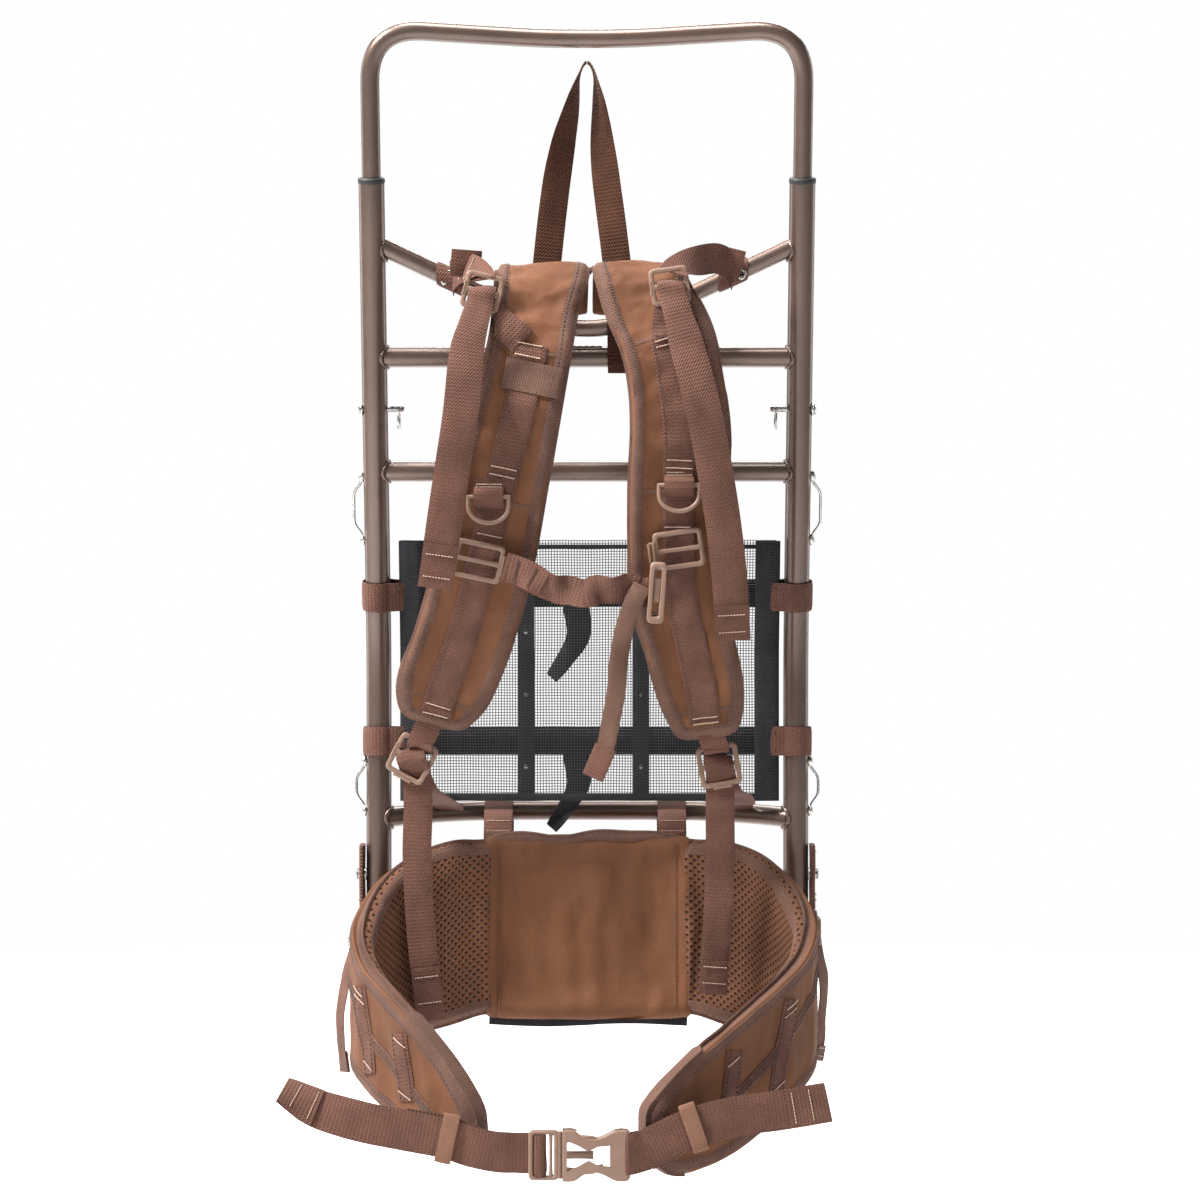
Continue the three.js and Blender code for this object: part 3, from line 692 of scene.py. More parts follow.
def sewn(name, skin, centre, wide, face, width, look="webbing", thick=1.4, lift=0.2, columns=8, **options):
    """Webbing laid on a skin along a run of centre points."""
    centre, wide, face = (np.asarray(a, float) for a in (centre, wide, face))
    wide = np.broadcast_to(wide, centre.shape)
    face = np.broadcast_to(face, centre.shape)
    width = np.broadcast_to(width, len(centre))
    s = lengths(centre)
    sections, uv = [], []
    for row in range(len(centre)):
        u = np.linspace(-1, 1, columns + 1)
        base = [skin.land(centre[row] + wide[row] * x * width[row] / 2, face[row], lift) for x in u]
        top = [b + face[row] * thick * (1 if abs(x) < 0.99 else 0.6) for b, x in zip(base, u)]
        under = [b - face[row] * 2.0 for b in base]
        sections.append(top + under[::-1])
        across = list(u) + list(u[::-1])
        uv += [(x * width[row] / 2000, s[row] / 1000) for x in across]
    sections = np.array(sections)
    return piece(name, sections.reshape(-1, 3), loft(sections), look, uv=uv, crease=60, **options)


def inflate(made, pressure, cap, pins=None):
    """Fills a closed cloth piece with a short pressure run; no vertex moves further than cap."""
    bpy.context.view_layer.objects.active = made
    before = np.array([v.co for v in made.data.vertices])
    cloth = made.modifiers.new("fill", "CLOTH")
    settings = cloth.settings
    settings.quality = 5
    settings.mass = 0.25
    settings.tension_stiffness = 22
    settings.compression_stiffness = 18
    settings.shear_stiffness = 8
    settings.bending_stiffness = 0.6
    settings.air_damping = 3
    settings.use_pressure = True
    settings.uniform_pressure_force = pressure
    settings.effector_weights.gravity = 0
    if pins is not None:
        group = made.vertex_groups.new(name="held")
        group.add([int(i) for i in pins], 1.0, "REPLACE")
        settings.vertex_group_mass = "held"
    cloth.point_cache.frame_start = 1
    cloth.point_cache.frame_end = 20
    for step in range(1, 21):
        bpy.context.scene.frame_set(step)
    settled = made.evaluated_get(bpy.context.evaluated_depsgraph_get()).data
    after = np.array([v.co for v in settled.vertices])
    made.modifiers.remove(cloth)
    if pins is not None:
        made.vertex_groups.clear()
    bpy.context.scene.frame_set(1)
    move = after - before
    size = np.linalg.norm(move, axis=1, keepdims=True)
    move *= np.minimum(1, cap / 1000 / np.maximum(size, 1e-9))
    made.data.vertices.foreach_set("co", (before + move).ravel())
    made.data.update()


def smooth_piece(made, levels=1):
    """One subdivision, applied."""
    bpy.context.view_layer.objects.active = made
    modifier = made.modifiers.new("smooth", "SUBSURF")
    modifier.levels = modifier.render_levels = levels
    with bpy.context.temp_override(object=made, active_object=made):
        bpy.ops.object.modifier_apply(modifier=modifier.name)


def cushion(band, thickness, columns=16, edge=0.35, power=3.0, wrinkle=0.0, scale=(20, 1.4), seed=0.0,
            offset=0.0, belly=1.0, back=1.0):
    """A stuffed band: crowned on both sides, thin at its edges, with soft cross wrinkles."""
    u = np.cos(np.linspace(math.pi, 0, columns + 1))
    u = 0.5 * u + 0.5 * np.linspace(-1, 1, columns + 1)
    sections, uv = [], []
    rows = band.count()
    for row in range(rows):
        s = band.length[row]
        ends = min(1.0, min(s, band.length[-1] - s) / 12 + 0.25)
        half = thickness / 2
        swell = (edge + (1 - edge) * np.sqrt(np.maximum(1 - np.abs(u) ** power, 0))) * half * ends
        crease = np.array([noise.fractal(Vector((s / scale[0] + seed, x * scale[1], seed * 1.7)), 0.8, 2.1, 3) for x in u])
        crease = wrinkle * crease * (1 - np.abs(u) ** 6)
        top = [band.at(row, x, offset + w * belly + c) for x, w, c in zip(u, swell, crease)]
        under = [band.at(row, x, offset - w * back + c * 0.4) for x, w, c in zip(u, swell, crease)]
        sections.append(top + under[::-1][1:-1])
        across = list(u) + list(u[::-1][1:-1])
        uv += [(x * band.width[row] / 2000, s / 1000) for x in across]
    sections = np.array(sections)
    return sections.reshape(-1, 3), loft(sections), uv


def edge_points(rows, columns):
    """Which points of a cushion lie on its edges and ends."""
    around = 2 * columns
    sides = [r * around + k for r in range(rows) for k in (0, 1, columns - 1, columns, columns + 1, around - 1)]
    return sorted(set(sides + list(range(around)) + list(range((rows - 1) * around, rows * around))))


def outline(band, first=0.0, last=1.0, corner=14, both=True):
    """The edge of a band from its start, round its far end and back: points and face directions."""
    rows = np.arange(int(first * (band.count() - 1)), int(last * (band.count() - 1)) + 1)
    left = [(r, -1.0) for r in rows]
    right = [(r, 1.0) for r in rows[::-1]]
    end = [(rows[-1], x) for x in np.linspace(-1, 1, 9)[1:-1]]
    spots = left + end + right if both else left
    points = np.array([band.at(r, x) for r, x in spots])
    faces = np.array([band.face[r] for r, _ in spots])
    for _ in range(3):
        points[1:-1] = (points[:-2] + 2 * points[1:-1] + points[2:]) / 4
    return points, faces


def bound_edge(name, skin, points, faces, inward_side, reach=11, out=1.2, look="binding", stitch_at=8.5, over=False, **options):
    """Twill binding folded over an edge, with its stitch line. over lifts it clear of cushions that rise past the edge."""
    along = tangents(points)
    inward = unit(np.cross(faces, along)) * inward_side
    sections, uv, line = [], [], []
    s = lengths(points)
    depths = [reach, reach * 0.6, reach * 0.25, 0.8]
    rise = np.zeros(len(points))
    if over:
        for row, (p, n, w) in enumerate(zip(points, faces, inward)):
            ends = [skin.land(p + w * 0.8, side, 0.9, 30) for side in (n, -n)]
            bases = [ends[0] * (1 - t) + ends[1] * t for t in (0.1, 0.25, 0.4, 0.5, 0.6, 0.75, 0.9)]
            rise[row] = max(np.dot(skin.land(b, -w, 0, 30) - b, -w) for b in bases)
        rise = np.convolve(np.pad(np.clip(rise, 0, 12), 3, mode="edge"), np.ones(7) / 7, "valid") + 0.4
    for row, (p, n, w) in enumerate(zip(points, faces, inward)):
        front = [skin.land(p + w * d, n, 0.9 if d < reach else 0.3, 30) for d in depths]
        rear = [skin.land(p + w * d, -n, 0.9 if d < reach else 0.3, 30) for d in depths]
        past, k = out + rise[row], 1.08 if over else 0.94
        tip = (front[-1] + rear[-1]) / 2 - w * (1.8 + past)
        high = front[-1] * k + rear[-1] * (1 - k) - w * (0.9 + past)
        low = rear[-1] * k + front[-1] * (1 - k) - w * (0.9 + past)
        sections.append(front + [high, tip, low] + rear[::-1])
        uv += [(k * reach / 4000, s[row] / 1000) for k in range(len(sections[-1]))]
        line.append(skin.land(p + w * stitch_at, n, 1.1, 30))
    sections = np.array(sections)
    made = piece(name, sections.reshape(-1, 3), loft(sections), look, uv=uv, crease=70, **options)
    return made, np.array(line)


from mathutils.bvhtree import BVHTree


# ---------------------------------------------------------------- back panel

def leaning_run(x, y, low, high, step=2.5):
    """Points up the back of the frame at one x, y behind the plane of the uprights."""
    total = BEND - low + high
    heights = np.linspace(0, total, int(total / step) + 1)
    return [(x, y, low + h) if low + h <= BEND else leaning(x, y, low + h - BEND) for h in heights]


def make_panel():
    low, high, pitch, thread = 208, 100, 2.5, 0.36
    parts = []
    spine = np.array(leaning_run(0, -2, low, high, pitch))
    xs = np.arange(-164, 168.1, pitch)
    columns = len(xs)
    rows = len(spine)
    for k, x in enumerate(xs):
        weave = 0.22 * np.where((np.arange(rows) + k) % 2, 1, -1)
        sway = [0.5 * noise.noise(Vector((x / 30, z / 60, 2))) for z in spine[:, 2]]
        parts.append(tube(spine + np.column_stack([x + np.array(sway), weave, np.zeros(rows)]), thread, 4))
    for k in range(0, rows):
        weave = 0.22 * np.where((np.arange(columns) + k) % 2, -1, 1)
        dip = [0.6 * noise.noise(Vector((x / 40, k / 20, 5))) for x in xs]
        line = np.column_stack([xs, spine[k, 1] + weave, spine[k, 2] + np.array(dip)])
        parts.append(tube(line, thread, 4))
    net = piece("panel_net", *merge(*parts), "thread", stands_for=["mesh_panel"], crease=30)
    for name, x0, x1, seed in (("left", -166, -144, 1), ("right", 148, 170, 7)):
        path = np.array(leaning_run((x0 + x1) / 2, -4, low, high, 3))
        sections, uv = [], []
        angles = np.linspace(0, 2 * math.pi, 28, endpoint=False)
        s = lengths(path)
        for row, p in enumerate(path):
            puff = 1 + 0.10 * noise.noise(Vector((s[row] / 14, seed, 0)))
            side = np.sign(np.cos(angles)) * np.abs(np.cos(angles)) ** 0.7 * (x1 - x0) / 2
            deep = np.sin(angles) * 3.7 * puff
            ridge = 0.25 * np.cos(angles * 14)
            sections.append(np.column_stack([p[0] + side, p[1] + deep + ridge, np.full(28, p[2])]))
            uv += [(a * 0.0038, s[row] / 1000) for a in angles]
        sections = np.array(sections)
        piece(f"panel_sleeve_{name}", sections.reshape(-1, 3), loft(sections), "sleeve", uv=uv)
    for name, height, width in (("top", 94.5, 2.2), ("low", None, 5.0)):
        z = 2.4 if height is None else 0
        line = [[x, -2.6, low + 3.4] if height is None else list(leaning(x, -2.9, height)) for x in xs[::4]]
        band = Band([[*p, width + 1.5] for p in line], (0, 0, 1), steps=2)
        points, faces, uv = strap(band, 1.7, 4, ripple=0.3, seed=3)
        piece(f"panel_hem_{name}", points, faces, "sleeve", uv=uv)
    for name, x0, x1 in (("left", -62, -47), ("right", 40, 55)):
        path = np.array(leaning_run((x0 + x1) / 2, 1.6, low + 2, high - 4, 4))
        band = Band([[*p, x1 - x0] for p in path], (1, 0, 0), steps=1)
        points, faces, uv = strap(band, 2.0, 6)
        rivets = []
        for z in (0.42, 0.66, 0.9, 0.14):
            spot = path[int(z * (len(path) - 1))] + [0, -1.0, 0]
            rivets.append(dome(spot, (0, -1, 0), 2.1, 0.9, 16))
        piece(f"stay_bar_{name}", points, faces, "stay", uv=uv, stands_for=[f"stay_{name}"])
        heads = piece(f"stay_rivets_{name}", *merge(*rivets), "steel")
    for level, centre in (("upper", leaning(0, 6, 50)), ("lower", (0, 6, 261))):
        make_panel_strap(level, np.array(centre), level == "upper")


def make_panel_strap(level, centre, lean_part):
    up = unit(np.subtract(leaning(0, 0, 1), leaning(0, 0, 0))) if lean_part else np.array([0, 0, 1.0])
    back = unit(np.subtract(leaning(0, 1, 0), leaning(0, 0, 0))) if lean_part else np.array([0, 1.0, 0])
    axis = centre - back * 6
    line = [centre + np.array([x, 0, 0]) + back * 0.5 * math.sin(x / 27) for x in np.linspace(-176, 176, 60)]
    band = Band([[*p, 25] for p in line], up, steps=1)
    points, faces, uv = strap(band, 1.9, 6, ripple=0.5, seed=len(level))
    piece(f"panel_band_{level}", points, faces, "black_webbing", uv=uv, stands_for=[f"panel_strap_{level}"])
    for name, side in SIDES.items():
        ring = []
        for a in np.linspace(-2.35, 2.35, 30):
            ring.append(axis + np.array([side * (UPRIGHT_X + 13.4 * math.cos(a)), 0, 0]) + back * 13.4 * math.sin(a))
        tail_in = [ring[-1] + np.array([-side * 5, 0, 0]) - back * 3.5, ring[-1] + np.array([-side * 16, 0, 0]) - back * 6]
        front = [ring[0] + np.array([-side * 14, 0, 0]) + back * 3.2, ring[0] + np.array([-side * 6, 0, 0]) + back * 0.8]
        loop = Band([[*p, 25.5] for p in front + ring + tail_in], up, steps=2)
        points, faces, uv = strap(loop, 1.8, 6, ripple=0.35, seed=side)
        piece(f"panel_tab_{level}_{name}", points, faces, "webbing", uv=uv)
        box_face = -back
        mid = (np.array(ring[0]) + np.array(front[0])) / 2 + box_face * 0.4 + np.array([side * 3.0, 0, 0])
        a, b = np.array([side * 6.5, 0, 0]), up * 9
        runs = [([mid - a - b, mid + a - b], box_face), ([mid - a + b, mid + a + b], box_face),
                ([mid - a - b, mid + a + b], box_face), ([mid - a + b, mid + a - b], box_face)]
        stitches(f"tab_stitch_{level}_{name}", runs, "seam", size=0.5, pitch=3.0)
    for k, (x, drop, lean_x) in enumerate(((-10, 78, -22), )):
        top = centre + np.array([x, 0, 0]) + back * 1.5
        run = [top + up * 10, top - up * 12 + back * 2, top - up * drop * 0.5 + np.array([2, 2, 0]),
               top - up * drop * 0.8 + np.array([lean_x * 0.5, -1, 0]), top - up * drop + np.array([lean_x, 2, 0])]
        strap_piece(f"panel_tail_{level}", [list(p) for p in run], [24, 24, 22, 17, 12], "black_webbing", thick=1.6,
                    turn=[0, 5, 20, 35, 30], ripple=0.6)


make_panel()


# ---------------------------------------------------------------- shoulder harness

PADS = {
    "left": ([[-37, -99, 630, 76], [-37, -101, 653, 78], [-37, -113, 667, 78], [-39, -127, 658, 76], [-43, -137, 636, 70],
              [-47, -146, 605, 68], [-54, -149, 570, 70], [-63, -145, 530, 74], [-73, -137, 485, 78],
              [-84, -126, 435, 82], [-94, -117, 392, 82], [-108, -107, 347, 81], [-125, -97, 306, 78],
              [-133, -89, 280, 52]]),
    "right": ([[41, -99, 630, 74], [41, -101, 653, 74], [42, -113, 667, 74], [46, -127, 658, 74], [54, -137, 636, 76],
               [68, -146, 605, 78], [75, -149, 570, 78], [79, -145, 530, 82], [78, -137, 485, 84], [77, -126, 435, 82],
               [78, -117, 392, 80], [88, -107, 347, 75], [99, -96, 302, 70], [104, -88, 269, 50]]),
}
pad_skin = {}
pad_band = {}


def beneath(band, z):
    """The row of a band nearest a height, counted where it hangs in front."""
    rows = np.arange(band.count())
    front = rows[rows > band.count() * 0.22]
    return int(front[np.argmin(np.abs(band.centre[front, 2] - z))])


def make_shoulder_pad(name):
    side = SIDES[name]
    band = Band(PADS[name], (1, 0, 0), steps=7)
    points, faces, uv = cushion(band, 15, 18, edge=0.36, wrinkle=3.4, scale=(17, 1.1), seed=3.1 + side, belly=1.05, back=0.95)
    pad = piece(f"pad_{name}", points, faces, "cloth", uv=uv, stands_for=[f"shoulder_pad_{name}"])
    inflate(pad, 4, 5, edge_points(band.count(), 18))
    smooth_piece(pad)
    skin = Surface(pad)
    pad_skin[name], pad_band[name] = skin, band
    edge, normals = outline(band, 0.14, 1.0)
    _, line = bound_edge(f"pad_binding_{name}", skin, edge, normals, 1)
    stitches(f"pad_edge_stitch_{name}", [(line[2:-2], normals[2:-2])], "seam", pitch=4.0, size=0.34)
    top_row = beneath(band, 600 if name == "left" else 612)
    low_row = beneath(band, 290 if name == "left" else 281)
    rows = np.arange(top_row, low_row + 1)
    shift = np.array([side * 2.0 * math.sin(r / 9) for r in rows])
    centre = band.centre[rows] + band.wide[rows] * shift[:, None]
    sewn(f"pad_spine_{name}", skin, centre, band.wide[rows], band.face[rows], 27, "webbing", 1.5, 0.3)
    both = [(np.array([skin.land(c + w * x, f, 2.0) for c, w, f in zip(centre, band.wide[rows], band.face[rows])]),
             band.face[rows]) for x in (-11.5, 11.5)]
    stitches(f"pad_spine_stitch_{name}", both, "seam", pitch=4.0, size=0.36)
    tacks = []
    bars = ((598, 0), (592, 0), (497, 0), (491, 0), (441, 0), (296, 0), (291, 0)) if name == "left" else (
        (606, 0), (600, 0), (503, 0), (497, 0), (449, 0), (288, 0), (283, 0))
    for z, _ in bars:
        r = beneath(band, z)
        across = [skin.land(band.centre[r] + band.wide[r] * x, band.face[r], 2.1) for x in np.linspace(-11, 11, 9)]
        tacks.append((across, band.face[r]))
    stitches(f"pad_tacks_{name}", tacks, pitch=2.0, size=0.5, bar=2.0)
    for k, z in enumerate((597, 470, 300) if name == "left" else (609, 478, 292)):
        r = beneath(band, z)
        span = band.width[r] / 2 - 11
        run = [band.centre[r] + band.wide[r] * x for x in np.linspace(-span, span, 15)]
        sewn(f"pad_band_{name}_{k}", skin, run, unit(np.gradient(band.centre, axis=0))[r], band.face[r], 3.2, "binding", 0.5, 0.1, 4)


def edge_box(width, height, depth, corner, bevel, steps=5):
    """Outline points of a rounded rectangle."""
    out = []
    for cx, cz, start in ((1, 1, 0), (-1, 1, 90), (-1, -1, 180), (1, -1, 270)):
        for a in np.linspace(start, start + 90, steps + 1):
            a = math.radians(a)
            out.append((cx * (width / 2 - corner) + corner * math.cos(a), cz * (height / 2 - corner) + corner * math.sin(a)))
    return np.array(out)


def moulded_ring(outer, inner, depth, bevel=0.7):
    """A flat moulded ring between two outlines of equal counts, its edges eased."""
    n = len(outer)
    middle = (np.array(outer) + np.array(inner)) / 2
    loops = []
    for shape, y, ease in ((outer, -depth / 2 + bevel, 0), (outer, -depth / 2, 1), (inner, -depth / 2, 1),
                           (inner, -depth / 2 + bevel, 0), (inner, depth / 2 - bevel, 0), (inner, depth / 2, 1),
                           (outer, depth / 2, 1), (outer, depth / 2 - bevel, 0)):
        shape = np.array(shape)
        shape = shape + unit(middle - shape) * bevel * ease
        loops.append(np.column_stack([shape[:, 0], np.full(n, y), shape[:, 1]]))
    sections = np.array(loops).transpose(1, 0, 2)
    return sections.reshape(-1, 3), loft(sections, True)


def moulded_bar(start, end, thick, deep, bulge=0.25):
    """A rounded bar between two points in the XZ plane."""
    start, end = np.array(start, float), np.array(end, float)
    t = np.linspace(0, 1, 9)[:, None]
    path = start + (end - start) * t
    along = unit(end - start)
    cross = np.cross(along, [0, 1, 0])
    sections = []
    for k, p in zip(t[:, 0], path):
        grow = 1 + bulge * (abs(2 * k - 1) ** 3 - 0.3)
        a = np.linspace(0, 2 * math.pi, 16, endpoint=False)
        c, s = np.cos(a), np.sin(a)
        wide = np.sign(c) * np.abs(c) ** 0.6 * thick / 2 * grow
        tall = np.sign(s) * np.abs(s) ** 0.6 * deep / 2
        sections.append(p + wide[:, None] * cross + tall[:, None] * np.array([0, 1, 0]))
    sections = np.array(sections)
    return sections.reshape(-1, 3), loft(sections)


def ladder_buckle(width, height, rim=4.2, depth=4.0, lip=True):
    """Points and faces of a ladder lock about its own centre, facing -Y."""
    outer = edge_box(width, height, depth, 4.5, 0.7)
    inner = edge_box(width - 2 * rim, height - 2 * rim, depth, 2.0, 0.7)
    parts = [moulded_ring(outer, inner, depth)]
    half = width / 2 - rim + 0.8
    parts.append(moulded_bar((-half, -0.4, 0), (half, -0.4, 0), 4.2, depth * 0.95))
    if lip:
        parts.append(moulded_bar((-half * 0.55, -1.6, -height / 2 - 0.6), (half * 0.55, -1.6, -height / 2 - 0.6), 2.6, 2.6))
        for k in (-1, 1):
            parts.append(moulded_bar((k * (width / 2 - 0.8), 0, -height * 0.18), (k * (width / 2 - 0.8), 0, height * 0.18), 2.4, depth + 0.6))
    return merge(*parts)


def set_down(shape, centre, tilt=0.0, pitch=0.0):
    """Turns a flat piece about Y and then X and moves it to its centre."""
    points, faces = shape
    a, b = math.radians(tilt), math.radians(pitch)
    x, y, z = np.asarray(points, float).T
    x, z = x * math.cos(a) + z * math.sin(a), -x * math.sin(a) + z * math.cos(a)
    y, z = y * math.cos(b) - z * math.sin(b), y * math.sin(b) + z * math.cos(b)
    return np.column_stack([x, y, z]) + np.asarray(centre, float), faces


def folded_end(name, band, look="webbing", body="frame", wide=None, colour="stitch"):
    """The doubled, stitched end of a webbing tail."""
    last = band.count() - 1
    start = max(int(last - 16 / max(band.length[-1] / last, 0.1)), 0)
    rows = np.arange(start, last + 1)
    centre = band.centre[rows] + band.face[rows] * 1.7
    stations = [[*c, w * 0.99] for c, w in zip(centre, band.width[rows])]
    flap = Band(stations, band.wide[rows[0]], steps=1)
    flap.wide, flap.face = band.wide[rows], band.face[rows]
    points, faces, uv = strap(flap, 1.7, 6)
    piece(f"{name}_fold", points, faces, look, body, uv, crease=60)
    runs = []
    for r in (start + 1, (start + last) // 2 + 1):
        r = min(r, last)
        runs.append(([band.at(r, x, 2.7) for x in np.linspace(-0.8, 0.8, 9)], band.face[r]))
    stitches(f"{name}_fold_stitch", runs, colour, body, 2.6, 0.42, 2.0)


LIFTERS = {
    "left": {"buckle": (-88, -149, 646), "tilt": 14,
             "tail": [[-87, -146.4, 650], [-87.5, -150.5, 648.5], [-88, -152.8, 645], [-90, -154, 636], [-95, -160, 618], [-101, -165, 592],
                      [-106, -168, 540], [-117, -159, 470], [-128, -147, 396]],
             "tab": [[-117, -78, 659], [-115, -90, 667], [-108, -108, 670], [-99, -130, 667], [-91, -146, 660], [-90, -150, 656]],
             "flap": [[-104, -116, 662], [-103, -121, 672], [-102, -124, 684]],
             "sewn": [[-84, -150, 634], [-76, -151, 624], [-64, -153, 613], [-54, -155, 604]],
             "clip": (-121, -88, 664)},
    "right": {"buckle": (70, -148.5, 651), "tilt": -8,
              "tail": [[70, -146.4, 655], [70, -150.5, 653.5], [71, -152.8, 650], [73, -154, 641], [78, -160, 622], [85, -165, 596],
                       [98, -168, 545], [112, -159, 470], [120, -147, 410], [124, -135, 352]],
              "tab": [[126, -80, 664], [124, -92, 672], [112, -110, 678], [94, -130, 674], [78, -145, 668], [73, -150, 662]],
              "flap": [[118, -100, 666], [121, -101, 676], [124, -101, 688]],
              "sewn": [[70, -149, 638], [69, -152, 628], [68, -155, 616], [68, -157, 606]],
              "clip": (131, -92, 668)},
}


def make_lifter(name):
    side, made = SIDES[name], LIFTERS[name]
    shape = set_down(ladder_buckle(33, 32), made["buckle"], made["tilt"])
    piece(f"lifter_lock_{name}", *shape, "tan", body=f"lifter_lock_{name}", stands_for=[f"lifter_buckle_{name}"])
    widths = [22, 22, 22, 23, 25, 29] + [30] * (len(made["tail"]) - 6)
    tail, band = strap_piece(f"lifter_tail_{name}", made["tail"], widths, "webbing", stands_for=[f"lifter_strap_{name}"],
                             thick=1.6, ripple=1.1, bow=0.9, seed=side)
    folded_end(f"lifter_tail_{name}", band)
    tab, tab_band = strap_piece(f"lifter_tab_{name}", made["tab"], 26, "webbing", thick=1.6, ripple=0.5, seed=4,
                                across=(0, -0.3, 1), turn=[side * t for t in (0, 0, 8, 30, 65, 80)])
    strap_piece(f"lifter_flap_{name}", made["flap"], 26, "webbing", thick=2.4, across=(1, 0, -0.12 * side))
    rows = (tab_band.count() * 2 // 5, tab_band.count() * 3 // 5)
    stitches(f"lifter_tab_stitch_{name}", [([tab_band.at(r, x, 1.1) for x in np.linspace(-0.8, 0.8, 9)], tab_band.face[r])
                                           for r in rows], pitch=2.4, size=0.45, bar=2.0)
    centre = through(made["sewn"], 7)
    face = np.tile([0.0, -1, 0.15], (len(centre), 1))
    along = tangents(centre)
    wide = unit(np.cross(face, along)) * -1
    skin = pad_skin[name]
    lifted = np.linspace(4.5, 0.4, len(centre))
    sections, uv = [], []
    s = lengths(centre)
    for row in range(len(centre)):
        u = np.linspace(-1, 1, 9)
        base = [skin.land(centre[row] + wide[row] * x * 12.5, (0, -1, 0.1), lifted[row]) for x in u]
        top = [b + [0, -1.5, 0] for b in base]
        sections.append(top + base[::-1])
        uv += [(x * 0.0125, s[row] / 1000) for x in list(u) + list(u[::-1])]
    sections = np.array(sections)
    piece(f"lifter_anchor_{name}", sections.reshape(-1, 3), loft(sections), "webbing", uv=uv, crease=60)
    row = len(centre) - 3
    line = [skin.land(centre[row] + wide[row] * x, (0, -1, 0), 3.0) for x in np.linspace(-11, 11, 10)]
    stitches(f"lifter_anchor_stitch_{name}", [(line, (0, -1, 0))], "seam", pitch=2.2, size=0.4, bar=2.0)
    clip = edge_box(13, 9, 2, 2.5, 0.4)
    hole = edge_box(8, 4.5, 2, 1.5, 0.4)
    piece(f"lifter_clip_{name}", *set_down(moulded_ring(clip, hole, 2.2, 0.5), made["clip"], 35 * side), "steel")
    wrap = []
    slope = side * math.atan2(85, 178)
    at = abs(made["tab"][0][0])
    height = 275 + (at - 0) * 85 / 178
    for a in np.linspace(-2.5, 2.5, 26):
        r = YOKE_R + 1.9
        wrap.append(leaning(side * at, -r * math.cos(a), height + r * math.sin(a)))
    strap_piece(f"lifter_wrap_{name}", wrap, 26, "webbing", across=(1, 0, 0.45 * side), steps=2, thick=1.6)


def make_d_ring(name, centre):
    x, y, z = centre
    bow = [(x - 17, y, z), (x - 17, y, z - 8)]
    bow += [(x - 17 * math.cos(a), y, z - 8 - 14 * math.sin(a)) for a in np.linspace(0.1, math.pi - 0.1, 22)]
    bow += [(x + 17, y, z - 8), (x + 17, y, z)]
    bar = [(x + t, y, z) for t in np.linspace(-18.5, 18.5, 9)]
    piece(f"d_loop_{name}", *merge(tube(bow, 1.9, 16), tube(bar, [1.5] + [1.9] * 7 + [1.5], 16)), "tan",
          body=f"d_ring_{name}", stands_for=[f"d_ring_{name}"])
    skin, band = pad_skin[name], pad_band[name]
    r = beneath(band, z + 4)
    keeper = []
    for d, lift in ((16, 0.6), (9, 1.0), (4, 3.2), (0, 4.6), (-4, 3.2), (-8, 0.8)):
        spot = skin.land((x, y, z + d), (0, -1, 0.1), lift)
        if abs(d) < 5:
            spot = np.array([x, y - 2.6 if d == 0 else y - 1.8, z + d])
        keeper.append([*spot, 25])
    hold = Band(keeper, (1, 0, 0), steps=5)
    points, faces, uv = strap(hold, 1.6, 8)
    piece(f"d_ring_keeper_{name}", points, faces, "webbing", uv=uv, crease=60)
    runs = [([hold.at(r, u, 1.1) for u in np.linspace(-0.85, 0.85, 12)], hold.face[r]) for r in (3, 6)]
    stitches(f"d_ring_keeper_stitch_{name}", runs, pitch=2.2, size=0.45, bar=2.2)


